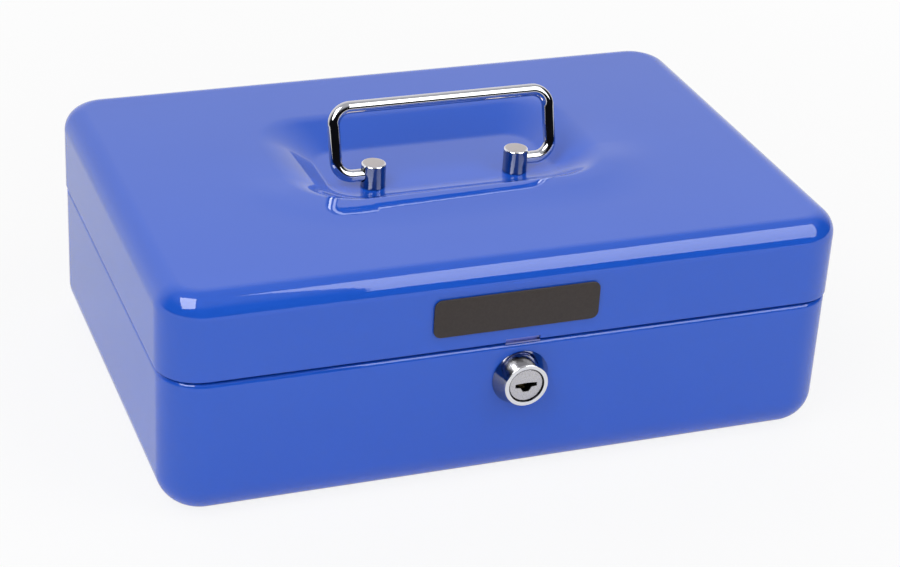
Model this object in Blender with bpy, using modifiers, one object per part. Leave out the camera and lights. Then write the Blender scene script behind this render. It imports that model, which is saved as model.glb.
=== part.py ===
"""Pressed-steel cash box with a folding wire handle, a cam lock and a lift-out coin tray.

Metres, +Z up. X runs along the front, -Y is the front, and the origin is the middle of the underside.
"""
import math

import bmesh
import bpy
from mathutils import Vector

# Overall sizes, measured over the lid
BOX_WIDTH = 0.250
BOX_DEPTH = 0.172
LID_TOP_Z = 0.0855
SEAM_Z = 0.0546
SEAM_GAP = 0.0010
CORNER_RADIUS = 0.016
LEAST_CORNER = 0.0005

# Steel sheet, and the gap kept between pieces that touch
SHEET = 0.0008
FOLD_RADIUS = 0.0012
GAP = 0.0003

# Base pan
LID_OVERHANG = 0.0004
FOOT_RADIUS = 0.0125
SHOULDER_RADIUS = 0.0020
SHOULDER_FLAT = 0.0001
UPSTAND_RADIUS = 0.0005
UPSTAND_HEIGHT = 0.0070
LID_EDGE_RADIUS = 0.0085

# Handle and its posts
POST_RADIUS = 0.00455
POST_HEIGHT = 0.0092
POST_CHAMFER = 0.0006
POST_SPACING = 0.0554
POST_Y = -0.0052
PIVOT_HEIGHT = 0.0048
SHANK_RADIUS = 0.0025
TAIL_HEAD_RADIUS = 0.0038
TAIL_HEAD_TAPER = 0.0011
TAIL_HEAD_HEIGHT = 0.0013
WASHER_RADIUS = 0.0055
WASHER_THICKNESS = 0.0010
WIRE_RADIUS = 0.0023
WIRE_CLEARANCE = 0.0003
WIRE_END_DEPTH = 0.0060
BAIL_LEG_OFFSET = 0.0139
BAIL_LENGTH = 0.0249
BAIL_TOP_BEND = 0.0064
BAIL_LOW_BEND = 0.0060
BAIL_TILT = math.radians(17.4)

# Dished recess round the handle
RECESS_DEPTH = 0.0062
FLOOR_SIDE_MARGIN = 0.0008
FLOOR_FRONT_MARGIN = 0.0137
FLOOR_BACK_MARGIN = 0.0048
SIDE_SLOPE = 0.0146
FRONT_SLOPE = 0.0095
BACK_SLOPE = 0.0220
RIM_RADIUS = 0.0200
FLOOR_RADIUS = 0.0090
RIM_BLEND = 0.50
FLOOR_BLEND = 0.22

# Badge plate
BADGE_WIDTH = 0.0606
BADGE_HEIGHT = 0.0143
BADGE_THICKNESS = 0.0008
BADGE_RADIUS = 0.0028
BADGE_X = -0.0020
BADGE_RISE = 0.0130

# Cam lock
LOCK_X = 0.0012
LOCK_DROP = 0.0136
LOCK_PROUD = 0.0064
PLUG_RADIUS = 0.0055
PLUG_HEAD_STEP = 0.0006
PLUG_HEAD_LENGTH = 0.0030
PLUG_CLEARANCE = 0.0002
BEZEL_RING = 0.0018
BEZEL_FLANGE = 0.0024
BEZEL_CHAMFER = 0.0004
BARREL_WALL = 0.0025
BARREL_LENGTH = 0.0120
NUT_WALL = 0.0010
NUT_THICKNESS = 0.0030
TAIL_RADIUS = 0.0040
TAIL_FLAT = 0.0030
KEYWAY_WIDTH = 0.0080
KEYWAY_HEIGHT = 0.0019
KEYWAY_END_HEIGHT = 0.0014
KEYWAY_STEP_WIDTH = 0.0042
KEYWAY_STEP_HEIGHT = 0.0016
KEYWAY_DEPTH = 0.0138
WAFER_COUNT = 4
WAFER_PITCH = 0.0024
WAFER_FIRST = 0.0019
WAFER_RECESS = 0.0006
WAFER_WIDTH = 0.0068
WAFER_THICKNESS = 0.0010
WAFER_RIM = 0.0016
WAFER_CORNER = 0.0020
WINDOW_CORNER = 0.0004
WINDOW_SHIFT = 0.0004
STOP_THICKNESS = 0.0012
STOP_DISC_WALL = 0.0016
STOP_LUG_CLEARANCE = 0.0004
STOP_LUG_ANGLE = math.radians(30)
STOP_PLAY_ANGLE = math.radians(5)
LOCK_TURN = math.radians(90)
CAM_THICKNESS = 0.0020
CAM_LENGTH = 0.0200
CAM_WIDTH = 0.0090
CAM_HUB_WALL = 0.0025
CAM_TIP_RADIUS = 0.0018
CAM_WASHER_RADIUS = 0.0050
CAM_WASHER_THICKNESS = 0.0008
SCREW_RADIUS = 0.0018
SCREW_LENGTH = 0.0075
SCREW_HEAD_RADIUS = 0.0035
SCREW_HEAD_HEIGHT = 0.0022
SCREW_SLOT = 0.0008

# Lid catch, folded from one strip
CATCH_SHEET = 0.0012
CATCH_PLAY = 0.0008
CATCH_STEM_WIDTH = 0.0060
CATCH_ARM_HEIGHT = 0.0050
CATCH_HUB_CLEARANCE = 0.0025
CATCH_TOP_MARGIN = 0.0025
CATCH_WEB_RISE = 0.0019
CATCH_RELIEF = 0.0030
CLIP_SHEET = 0.0005
CLIP_HALF_WIDTH = 0.0064
CLIP_SETBACK = 0.0002
CLIP_LAP = 0.0060

# Concealed hinges
HINGE_END_MARGIN = 0.0496
HINGE_DROP = 0.0056
KNUCKLE_RADIUS = 0.0022
KNUCKLE_CLEARANCE = 0.0004
PIN_RADIUS = 0.00115
PIN_CLEARANCE = 0.0002
PIN_HEAD_RADIUS = 0.0019
PIN_HEAD_TAPER = 0.0004
PIN_HEAD_LENGTH = 0.0008
LID_KNUCKLE_LENGTH = 0.0130
BASE_KNUCKLE_LENGTH = 0.0080
LEAF_SHEET = 0.0012
LEAF_HEIGHT = 0.0190
STRAP_CLEARANCE = 0.0003
STRAP_WEB_RISE = 0.0029
STRAP_TOP_MARGIN = 0.0055
NOTCH_MARGIN = 0.0025

# Coin tray and the ledges that carry it
LEDGE_Z = 0.0240
LEDGE_SHELF = 0.0097
LEDGE_SHEET = 0.0010
LEDGE_FOOT_MARGIN = 0.0010
LEDGE_END_MARGIN = 0.0134
TRAY_SIDE_CLEARANCE = 0.0034
TRAY_FRONT_CLEARANCE = 0.0032
TRAY_BACK_CLEARANCE = 0.0013
TRAY_HEIGHT = 0.0300
TRAY_RADIUS = 0.0100
TRAY_WALL = 0.0020
TRAY_FLOOR = 0.0018
TRAY_CUPS = 5
TRAY_BAYS = 2
CUP_LENGTH = 0.0640
HOLLOW_END = math.radians(72)
NOTCH_RADIUS = 0.0110
NOTCH_DEPTH = 0.0100

# Facets, and how far a cutter runs past what it cuts
CORNER_STEPS = 7
FILLET_STEPS = 6
RECESS_STEPS = 10
TURN_STEPS = 32
HINGE_STEPS = 20
BEND_STEPS = 6
SCOOP_STEPS = 14
WIRE_STEPS = 4
HEX_SIDES = 6
SHARP_ANGLE = math.radians(35)
WELD = 1e-6
CUT_MARGIN = 0.002

# Shells: places worked out from the sizes above
BASE_HALF_X = BOX_WIDTH / 2 - LID_OVERHANG
BASE_HALF_Y = BOX_DEPTH / 2 - LID_OVERHANG
WALL_INNER_X = BASE_HALF_X - SHEET
WALL_INNER_Y = BASE_HALF_Y - SHEET
LID_INNER_Y = BOX_DEPTH / 2 - SHEET
LEDGE_TOP_Z = SEAM_Z - SEAM_GAP
UPSTAND_INSET = SHOULDER_RADIUS + SHOULDER_FLAT + UPSTAND_RADIUS
UPSTAND_TOP_Z = LEDGE_TOP_Z + UPSTAND_HEIGHT
SKIRT_TOP_Z = LID_TOP_Z - LID_EDGE_RADIUS

# Recess and handle
RECESS_FLOOR_Z = LID_TOP_Z - RECESS_DEPTH
PIVOT_Z = RECESS_FLOOR_Z + PIVOT_HEIGHT
BAIL_HALF = POST_SPACING / 2 + BAIL_LEG_OFFSET
FLOOR_HALF_WIDTH = BAIL_HALF + FLOOR_SIDE_MARGIN
FLOOR_FRONT_Y = POST_Y - FLOOR_FRONT_MARGIN
FLOOR_BACK_Y = POST_Y + BAIL_LENGTH + FLOOR_BACK_MARGIN
BADGE_Z = SEAM_Z + BADGE_RISE

# Lock, with depths counted back from the outside of the front wall
LOCK_Z = LEDGE_TOP_Z - LOCK_DROP
LOCK_PLACE = (LOCK_X, -BASE_HALF_Y, LOCK_Z)
LOCK_ROTATION = (math.pi / 2, 0, 0)
PLUG_HEAD_RADIUS = PLUG_RADIUS + PLUG_HEAD_STEP
BEZEL_FACE_RADIUS = PLUG_HEAD_RADIUS + BEZEL_RING
BARREL_RADIUS = PLUG_RADIUS + BARREL_WALL
BEZEL_BASE_RADIUS = BARREL_RADIUS + BEZEL_FLANGE
STOP_RADIUS = TAIL_RADIUS + STOP_DISC_WALL
STOP_LUG_RADIUS = BARREL_RADIUS - STOP_LUG_CLEARANCE
STOP_BACK = BARREL_LENGTH + GAP + STOP_THICKNESS
CAM_HUB_RADIUS = TAIL_RADIUS + CAM_HUB_WALL
CAM_FRONT = STOP_BACK + GAP
CAM_BACK = CAM_FRONT + CAM_THICKNESS
CAM_WASHER_FRONT = CAM_BACK + GAP
SCREW_HEAD_FRONT = CAM_WASHER_FRONT + CAM_WASHER_THICKNESS + GAP
SCREW_HEAD_BACK = SCREW_HEAD_FRONT + SCREW_HEAD_HEIGHT
SCREW_TIP = SCREW_LENGTH - SCREW_HEAD_FRONT
TAIL_END = CAM_BACK - GAP
WAFER_LENGTH = 2 * (PLUG_RADIUS - WAFER_RECESS)

# Hinges: the strap's reach lets the rim of the base pass inside it as the lid swings back
HINGE_X = BASE_HALF_X - HINGE_END_MARGIN
HINGE_Y = WALL_INNER_Y - KNUCKLE_RADIUS - KNUCKLE_CLEARANCE
HINGE_Z = SEAM_Z - HINGE_DROP
RIM_SWEEP = math.hypot(BASE_HALF_Y - HINGE_Y, LEDGE_TOP_Z - HINGE_Z)
STRAP_FRONT_Y = HINGE_Y - RIM_SWEEP - STRAP_CLEARANCE - LEAF_SHEET / 2

# Tray
TRAY_HALF_X = BASE_HALF_X - UPSTAND_INSET - SHEET - TRAY_SIDE_CLEARANCE
TRAY_FRONT_Y = -BASE_HALF_Y + SCREW_HEAD_BACK + TRAY_FRONT_CLEARANCE
TRAY_BACK_Y = STRAP_FRONT_Y - LEAF_SHEET / 2 - TRAY_BACK_CLEARANCE
TRAY_LOW_Z = LEDGE_Z + GAP
TRAY_TOP_Z = TRAY_LOW_Z + TRAY_HEIGHT
SIDES = ((-1, "left"), (1, "right"))


def clear_scene():
    """Remove everything that the scene starts with."""
    for obj in list(bpy.data.objects):
        bpy.data.objects.remove(obj, do_unlink=True)


def make_collection(name):
    """Add a collection to the scene."""
    collection = bpy.data.collections.new(name)
    bpy.context.scene.collection.children.link(collection)
    return collection


def make_material(name, colour, roughness, metallic):
    """Principled material in one colour."""
    material = bpy.data.materials.new(name)
    material.use_nodes = True
    shader = material.node_tree.nodes["Principled BSDF"]
    shader.inputs["Base Color"].default_value = (*colour, 1.0)
    shader.inputs["Roughness"].default_value = roughness
    shader.inputs["Metallic"].default_value = metallic
    material.diffuse_color = (*colour, 1.0)
    return material


clear_scene()
PARTS = make_collection("cash_box")
CUTTERS = make_collection("cash_box_cutters")

ENAMEL = make_material("blue_enamel", (0.045, 0.115, 0.56), 0.25, 0.0)
CHROME = make_material("chrome", (0.80, 0.80, 0.82), 0.08, 1.0)
ZINC = make_material("zinc_plate", (0.62, 0.63, 0.64), 0.38, 1.0)
BRASS = make_material("brass", (0.72, 0.52, 0.20), 0.30, 1.0)
BADGE = make_material("badge_brown", (0.055, 0.045, 0.042), 0.40, 0.0)
TRAY_PLASTIC = make_material("black_plastic", (0.020, 0.020, 0.022), 0.50, 0.0)


def make_empty(name, location):
    """Empty on a joint's axis, which carries the pieces that move with it."""
    empty = bpy.data.objects.new(name, None)
    empty.empty_display_size = WIRE_RADIUS
    empty.location = location
    PARTS.objects.link(empty)
    return empty


def carry(obj, parent):
    """Parent an object to an axis, so that its location and rotation stay as given in the world."""
    bpy.context.view_layer.update()
    obj.parent = parent
    obj.matrix_parent_inverse = parent.matrix_world.inverted()


def add_part(name, mesh, material, parent=None, location=(0, 0, 0), rotation=(0, 0, 0)):
    """Object for one sub-part, placed in the world and carried by its parent."""
    obj = bpy.data.objects.new(name, mesh)
    obj.location = location
    obj.rotation_euler = rotation
    PARTS.objects.link(obj)
    obj.data.materials.clear()
    obj.data.materials.append(material)
    if parent is not None:
        carry(obj, parent)
    return obj


def add_cutter(name, mesh, location=(0, 0, 0), rotation=(0, 0, 0)):
    """Object that only cuts other pieces or is fused into them."""
    obj = bpy.data.objects.new(name, mesh)
    obj.location = location
    obj.rotation_euler = rotation
    obj.hide_render = True
    obj.display_type = "WIRE"
    CUTTERS.objects.link(obj)
    return obj


def cut(obj, *cutters):
    """Take cutters away from an object, one after another."""
    for cutter in cutters:
        modifier = obj.modifiers.new("cut_" + cutter.name, "BOOLEAN")
        modifier.operation = "DIFFERENCE"
        modifier.object = cutter


def join(obj, *extras):
    """Fuse helper bodies into an object."""
    for extra in extras:
        modifier = obj.modifiers.new("join_" + extra.name, "BOOLEAN")
        modifier.operation = "UNION"
        modifier.object = extra


def smooth(mesh):
    """Smooth shading with hard edges kept."""
    mesh.shade_smooth()
    mesh.set_sharp_from_angle(angle=SHARP_ANGLE)
    return mesh


def mesh_of(bm, name):
    """Finish a bmesh as a mesh."""
    mesh = bpy.data.meshes.new(name)
    bm.to_mesh(mesh)
    bm.free()
    return mesh


def box_mesh(name, low, high):
    """Box between two corners."""
    bm = bmesh.new()
    bmesh.ops.create_cube(bm, size=1.0)
    size = Vector(high) - Vector(low)
    middle = (Vector(high) + Vector(low)) / 2
    bmesh.ops.scale(bm, vec=size, verts=bm.verts)
    bmesh.ops.translate(bm, vec=middle, verts=bm.verts)
    return mesh_of(bm, name)


def rod_mesh(name, radius, low, high, steps=TURN_STEPS):
    """Cylinder along local Z between two heights."""
    bm = bmesh.new()
    bmesh.ops.create_cone(bm, cap_ends=True, segments=steps, radius1=radius, radius2=radius,
                          depth=high - low)
    bmesh.ops.translate(bm, vec=(0, 0, (high + low) / 2), verts=bm.verts)
    return mesh_of(bm, name)


def arc(centre, radius, start, end, steps):
    """Points along an arc, both ends included, angles in radians."""
    points = []
    for step in range(steps + 1):
        angle = start + (end - start) * step / steps
        points.append((centre[0] + radius * math.cos(angle), centre[1] + radius * math.sin(angle)))
    return points


def rounded_rectangle(low, high, radius, steps=CORNER_STEPS):
    """Outline of a rectangle with round corners, anticlockwise."""
    quarter = math.pi / 2
    corners = [(high[0] - radius, low[1] + radius, -quarter), (high[0] - radius, high[1] - radius, 0.0),
               (low[0] + radius, high[1] - radius, quarter), (low[0] + radius, low[1] + radius, 2 * quarter)]
    points = []
    for x, y, start in corners:
        points += arc((x, y), radius, start, start + quarter, steps)
    return points


def centred_rectangle(half_x, half_y, inset, radius):
    """Round-cornered outline about the origin, drawn in by an inset that also tightens its corners."""
    x = half_x - inset
    y = half_y - inset
    return rounded_rectangle((-x, -y), (x, y), max(radius - inset, LEAST_CORNER))


def flat_mesh(name, outline, thickness, *holes):
    """Plate of an outline, centred on local Z, from a filled 2D curve."""
    curve = bpy.data.curves.new(name, "CURVE")
    curve.dimensions = "2D"
    curve.fill_mode = "BOTH"
    curve.extrude = thickness / 2
    for points in (outline, *holes):
        spline = curve.splines.new("POLY")
        spline.points.add(len(points) - 1)
        for point, (x, y) in zip(spline.points, points):
            point.co = (x, y, 0, 1)
        spline.use_cyclic_u = True
    return curve_to_mesh(curve, name)


def curve_to_mesh(curve, name):
    """Turn a curve into a closed mesh with its caps welded on."""
    carrier = bpy.data.objects.new(name + "_curve", curve)
    CUTTERS.objects.link(carrier)
    graph = bpy.context.evaluated_depsgraph_get()
    mesh = bpy.data.meshes.new_from_object(carrier.evaluated_get(graph))
    bpy.data.objects.remove(carrier, do_unlink=True)
    bm = bmesh.new()
    bm.from_mesh(mesh)
    bmesh.ops.remove_doubles(bm, verts=bm.verts, dist=WELD)
    bmesh.ops.recalc_face_normals(bm, faces=bm.faces)
    bm.to_mesh(mesh)
    bm.free()
    mesh.name = name
    return mesh


def profile_mesh(name, points, closed):
    """Polyline of radius and height for a turned piece."""
    bm = bmesh.new()
    verts = [bm.verts.new((radius, 0, height)) for radius, height in points]
    for first, second in zip(verts, verts[1:]):
        bm.edges.new((first, second))
    if closed:
        bm.edges.new((verts[-1], verts[0]))
    return mesh_of(bm, name)


def turn(obj, steps=TURN_STEPS):
    """Turn an object's profile round its local Z."""
    screw = obj.modifiers.new("turn", "SCREW")
    screw.steps = steps
    screw.render_steps = steps
    screw.use_merge_vertices = True
    screw.merge_threshold = WELD
    screw.use_smooth_shade = True
    return obj


def sweep_solid(name, outline, low_x, high_x):
    """Solid of a closed outline in Y and Z, drawn along X."""
    bm = bmesh.new()
    face = bm.faces.new([bm.verts.new((low_x, y, z)) for y, z in outline])
    grown = bmesh.ops.extrude_face_region(bm, geom=[face])
    moved = [item for item in grown["geom"] if isinstance(item, bmesh.types.BMVert)]
    bmesh.ops.translate(bm, vec=(high_x - low_x, 0, 0), verts=moved)
    bmesh.ops.recalc_face_normals(bm, faces=bm.faces)
    return mesh_of(bm, name)


def loft_surface(name, rings):
    """Open surface through rings of equal point counts, closed by a face on the last ring."""
    bm = bmesh.new()
    loops = [[bm.verts.new(point) for point in ring] for ring in rings]
    count = len(loops[0])
    for lower, upper in zip(loops, loops[1:]):
        for index in range(count):
            after = (index + 1) % count
            bm.faces.new((lower[index], lower[after], upper[after], upper[index]))
    bm.faces.new(loops[-1])
    return smooth(mesh_of(bm, name))


def thicken(obj, thickness, offset=-1):
    """Give an open surface its sheet thickness, inwards unless told otherwise."""
    solidify = obj.modifiers.new("sheet", "SOLIDIFY")
    solidify.thickness = thickness
    solidify.offset = offset
    solidify.use_even_offset = True
    solidify.use_quality_normals = True


def at_height(outline, z):
    """Lift a flat outline to a height."""
    return [(x, y, z) for x, y in outline]


def between(first, second, share):
    """Value part of the way from one to another."""
    return first + (second - first) * share


def build_base_shell():
    """Drawn pan: flat floor, round foot, straight wall, round shoulder and upstand."""
    shoulder = arc((SHOULDER_RADIUS, LEDGE_TOP_Z - SHOULDER_RADIUS), SHOULDER_RADIUS,
                   math.pi / 2, math.pi, FILLET_STEPS // 2)
    upstand_foot = arc((UPSTAND_INSET - UPSTAND_RADIUS, LEDGE_TOP_Z + UPSTAND_RADIUS), UPSTAND_RADIUS,
                       0, -math.pi / 2, FILLET_STEPS // 3)
    foot = arc((FOOT_RADIUS, FOOT_RADIUS), FOOT_RADIUS, math.pi, 1.5 * math.pi, FILLET_STEPS)
    section = [(UPSTAND_INSET, UPSTAND_TOP_Z), *upstand_foot, *shoulder, *foot]
    rings = []
    for inset, z in section:
        outline = centred_rectangle(BASE_HALF_X, BASE_HALF_Y, inset, CORNER_RADIUS - LID_OVERHANG)
        rings.append(at_height(outline, z)[::-1])
    shell = add_part("base_shell", loft_surface("base_shell", rings), ENAMEL)
    thicken(shell, SHEET)
    hole = rod_mesh("lock_hole", BARREL_RADIUS + GAP, -SHEET - CUT_MARGIN, CUT_MARGIN)
    cut(shell, add_cutter("lock_hole", hole, LOCK_PLACE, LOCK_ROTATION))
    notch_half = LID_KNUCKLE_LENGTH / 2 + NOTCH_MARGIN
    notch_front = BASE_HALF_Y - UPSTAND_INSET - SHEET - CUT_MARGIN
    for side, name in SIDES:
        low = (side * HINGE_X - notch_half, notch_front, LEDGE_TOP_Z - SHOULDER_RADIUS)
        high = (side * HINGE_X + notch_half, WALL_INNER_Y - GAP, UPSTAND_TOP_Z + CUT_MARGIN)
        cut(shell, add_cutter("hinge_notch_" + name, box_mesh("hinge_notch", low, high)))


def recess_drop(share):
    """Share of the recess depth reached at a share of the way from its rim to its floor."""
    slope = 1 / (1 - RIM_BLEND / 2 - FLOOR_BLEND / 2)
    if share < RIM_BLEND:
        return slope * share * share / (2 * RIM_BLEND)
    if share <= 1 - FLOOR_BLEND:
        return slope * (share - RIM_BLEND / 2)
    return 1 - slope * (1 - share) ** 2 / (2 * FLOOR_BLEND)


def build_lid_shell(lid):
    """Drawn lid: skirt, round top edge and a dished recess that is steep in front and shallow behind."""
    edge = arc((LID_EDGE_RADIUS, SKIRT_TOP_Z), LID_EDGE_RADIUS, math.pi, math.pi / 2, FILLET_STEPS)
    rings = []
    for inset, z in [(0, SEAM_Z), *edge]:
        outline = centred_rectangle(BOX_WIDTH / 2, BOX_DEPTH / 2, inset, CORNER_RADIUS)
        rings.append(at_height(outline, z))
    for step in range(RECESS_STEPS + 1):
        share = step / RECESS_STEPS
        half_x = FLOOR_HALF_WIDTH + SIDE_SLOPE * (1 - share)
        front = FLOOR_FRONT_Y - FRONT_SLOPE * (1 - share)
        back = FLOOR_BACK_Y + BACK_SLOPE * (1 - share)
        radius = between(RIM_RADIUS, FLOOR_RADIUS, share)
        outline = rounded_rectangle((-half_x, front), (half_x, back), radius)
        rings.append(at_height(outline, LID_TOP_Z - RECESS_DEPTH * recess_drop(share)))
    shell = add_part("lid_shell", loft_surface("lid_shell", rings), ENAMEL, lid)
    thicken(shell, SHEET)
    for side, name in SIDES:
        hole = rod_mesh("post_hole", SHANK_RADIUS + GAP, -SHEET - CUT_MARGIN, CUT_MARGIN)
        cut(shell, add_cutter("post_hole_" + name, hole, post_place(side)))


def build_badge(lid):
    """Bare plate on the lid front."""
    half_x = BADGE_WIDTH / 2
    half_z = BADGE_HEIGHT / 2
    outline = rounded_rectangle((-half_x, -half_z), (half_x, half_z), BADGE_RADIUS)
    y = -BOX_DEPTH / 2 - GAP / 2 - BADGE_THICKNESS / 2
    add_part("badge_plate", flat_mesh("badge_plate", outline, BADGE_THICKNESS), BADGE, lid,
             (BADGE_X, y, BADGE_Z), LOCK_ROTATION)


def post_place(side):
    """Foot of a handle post, on the recess floor."""
    return (side * POST_SPACING / 2, POST_Y, RECESS_FLOOR_Z)


def build_post(lid, side, name):
    """Handle post with its peened tail, and the washer under the tail."""
    under = -SHEET - GAP
    washer_low = under - WASHER_THICKNESS
    tail_top = washer_low - GAP
    tail_low = tail_top - TAIL_HEAD_HEIGHT
    profile = [(0, POST_HEIGHT), (POST_RADIUS - POST_CHAMFER, POST_HEIGHT),
               (POST_RADIUS, POST_HEIGHT - POST_CHAMFER), (POST_RADIUS, GAP), (SHANK_RADIUS, GAP),
               (SHANK_RADIUS, tail_top), (TAIL_HEAD_RADIUS, tail_top),
               (TAIL_HEAD_RADIUS - TAIL_HEAD_TAPER, tail_low), (0, tail_low)]
    place = post_place(side)
    mesh = profile_mesh("handle_post", profile, False)
    post = turn(add_part("handle_post_" + name, mesh, CHROME, lid, place))
    bore = rod_mesh("wire_bore", WIRE_RADIUS + WIRE_CLEARANCE, POST_RADIUS - WIRE_END_DEPTH - GAP,
                    POST_RADIUS + CUT_MARGIN)
    cut(post, add_cutter("wire_bore_" + name, bore, (place[0], POST_Y, PIVOT_Z), (0, side * math.pi / 2, 0)))
    inner = SHANK_RADIUS + GAP
    ring = [(WASHER_RADIUS, under), (WASHER_RADIUS, washer_low), (inner, washer_low), (inner, under)]
    turn(add_part("post_washer_" + name, profile_mesh("post_washer", ring, True), ZINC, lid, place))


def bail_route():
    """Centre line of the handle in its own plane, from one wire end to the other."""
    end_x = POST_SPACING / 2 + POST_RADIUS - WIRE_END_DEPTH
    low = arc((BAIL_HALF - BAIL_LOW_BEND, BAIL_LOW_BEND), BAIL_LOW_BEND, -math.pi / 2, 0, BEND_STEPS)
    top = arc((BAIL_HALF - BAIL_TOP_BEND, BAIL_LENGTH - BAIL_TOP_BEND), BAIL_TOP_BEND, 0, math.pi / 2,
              BEND_STEPS)
    right = [(end_x, 0), *low, *top]
    left = [(-x, z) for x, z in reversed(right)]
    return right + left


def build_bail(handle):
    """Wire handle with its ends turned in, leaning back as it stands."""
    curve = bpy.data.curves.new("bail_handle", "CURVE")
    curve.dimensions = "3D"
    curve.bevel_depth = WIRE_RADIUS
    curve.bevel_resolution = WIRE_STEPS
    curve.use_fill_caps = True
    route = bail_route()
    spline = curve.splines.new("POLY")
    spline.points.add(len(route) - 1)
    for point, (x, z) in zip(spline.points, route):
        point.co = (x, 0, z, 1)
    mesh = smooth(curve_to_mesh(curve, "bail_handle"))
    add_part("bail_handle", mesh, CHROME, handle, (0, POST_Y, PIVOT_Z), (-BAIL_TILT, 0, 0))


def lock_part(name, mesh, material, carrier, depth=0.0):
    """Piece on the lock's axis, at a depth behind the outside of the wall; local Z points forward."""
    place = (LOCK_PLACE[0], LOCK_PLACE[1] + depth, LOCK_PLACE[2])
    return add_part(name, mesh, material, carrier, place, LOCK_ROTATION)


def lock_cutter(name, mesh, depth=0.0):
    """Cutter on the lock's axis at a depth behind the outside of the wall."""
    place = (LOCK_PLACE[0], LOCK_PLACE[1] + depth, LOCK_PLACE[2])
    return add_cutter(name, mesh, place, LOCK_ROTATION)


def sector(inner, outer, start, end):
    """Outline of part of a ring."""
    return arc((0, 0), outer, start, end, 2 * BEND_STEPS) + arc((0, 0), inner, end, start, 2 * BEND_STEPS)


def build_lock_housing():
    """Conical bezel and barrel in one piece, with a raised stop at its back end."""
    head_bore = PLUG_HEAD_RADIUS + PLUG_CLEARANCE
    bore = PLUG_RADIUS + PLUG_CLEARANCE
    head_low = LOCK_PROUD - PLUG_HEAD_LENGTH - GAP
    profile = [(BEZEL_FACE_RADIUS - BEZEL_CHAMFER, LOCK_PROUD),
               (BEZEL_FACE_RADIUS, LOCK_PROUD - BEZEL_CHAMFER), (BEZEL_BASE_RADIUS, GAP),
               (BARREL_RADIUS, GAP), (BARREL_RADIUS, -BARREL_LENGTH), (bore, -BARREL_LENGTH),
               (bore, head_low), (head_bore, head_low), (head_bore, LOCK_PROUD)]
    housing = turn(lock_part("lock_housing", profile_mesh("lock_housing", profile, True), CHROME, None))
    # The stop washer's lug swings from one end of this ring to the other
    free = LOCK_TURN + STOP_LUG_ANGLE + 2 * STOP_PLAY_ANGLE
    start = math.pi / 2 + STOP_LUG_ANGLE / 2 + STOP_PLAY_ANGLE
    ring = sector(STOP_RADIUS + GAP, BARREL_RADIUS - GAP, start, start + math.tau - free)
    low = BARREL_LENGTH - GAP
    high = STOP_BACK + GAP
    stop = flat_mesh("lock_stop_ring", ring, high - low)
    join(housing, lock_cutter("lock_stop_ring", stop, (low + high) / 2))


def build_lock_nut():
    """Hex nut behind the front wall."""
    corner = (BARREL_RADIUS + NUT_WALL) / math.cos(math.pi / HEX_SIDES)
    hexagon = arc((0, 0), corner, 0, math.tau * (1 - 1 / HEX_SIDES), HEX_SIDES - 1)
    hole = arc((0, 0), BARREL_RADIUS + GAP, 0, math.tau * (1 - 1 / TURN_STEPS), TURN_STEPS - 1)
    lock_part("lock_nut", flat_mesh("lock_nut", hexagon, NUT_THICKNESS, hole), ZINC, None,
              SHEET + GAP + NUT_THICKNESS / 2)


def double_flat(radius, flat):
    """Outline of a round bar with two flats, which face along local X."""
    angle = math.acos(flat / radius)
    upper = arc((0, 0), radius, angle, math.pi - angle, BEND_STEPS)
    lower = arc((0, 0), radius, math.pi + angle, math.tau - angle, BEND_STEPS)
    return upper + lower


def keyway_outline():
    """Keyway that is widest across its middle, with a narrower step below."""
    half = KEYWAY_HEIGHT / 2
    end = KEYWAY_END_HEIGHT / 2
    step = KEYWAY_STEP_WIDTH / 2
    right = [(step / 2, -half - KEYWAY_STEP_HEIGHT), (step, -half), (KEYWAY_WIDTH / 2, -end),
             (KEYWAY_WIDTH / 2, end)]
    left = [(-x, y) for x, y in reversed(right)]
    return [*right, (0, half), *left]


def build_lock_plug(plug):
    """Plug with its keyway, wafer slots, flatted tail and screw hole."""
    body_end = BARREL_LENGTH + GAP / 2
    head_low = LOCK_PROUD - PLUG_HEAD_LENGTH
    profile = [(0, LOCK_PROUD), (PLUG_HEAD_RADIUS, LOCK_PROUD), (PLUG_HEAD_RADIUS, head_low),
               (PLUG_RADIUS, head_low), (PLUG_RADIUS, -body_end), (TAIL_RADIUS, -body_end),
               (TAIL_RADIUS, -TAIL_END), (0, -TAIL_END)]
    body = turn(lock_part("lock_plug", profile_mesh("lock_plug", profile, False), CHROME, plug))
    past = TAIL_RADIUS + CUT_MARGIN
    for side, name in SIDES:
        first, second = sorted((side * TAIL_FLAT, side * past))
        flat = box_mesh("tail_flat", (first, -past, -TAIL_END - CUT_MARGIN),
                        (second, past, -body_end - GAP / 3))
        cut(body, lock_cutter("tail_flat_" + name, flat))
    slot = flat_mesh("keyway", keyway_outline(), KEYWAY_DEPTH + CUT_MARGIN)
    cut(body, lock_cutter("keyway", slot, (KEYWAY_DEPTH - CUT_MARGIN) / 2 - LOCK_PROUD))
    reach = PLUG_RADIUS + CUT_MARGIN
    half_width = WAFER_WIDTH / 2 + GAP
    thick = WAFER_THICKNESS / 2 + GAP
    for index in range(WAFER_COUNT):
        pocket = box_mesh("wafer_slot", (-reach, -half_width, -thick), (reach, half_width, thick))
        cut(body, lock_cutter("wafer_slot_%d" % (index + 1), pocket, wafer_depth(index)))
    hole = rod_mesh("screw_hole", SCREW_RADIUS + GAP, -TAIL_END - CUT_MARGIN, SCREW_TIP + GAP)
    cut(body, lock_cutter("screw_hole", hole))


def wafer_depth(index):
    """Depth of a wafer's middle behind the outside of the wall."""
    return PLUG_HEAD_LENGTH - LOCK_PROUD + WAFER_FIRST + index * WAFER_PITCH


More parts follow.
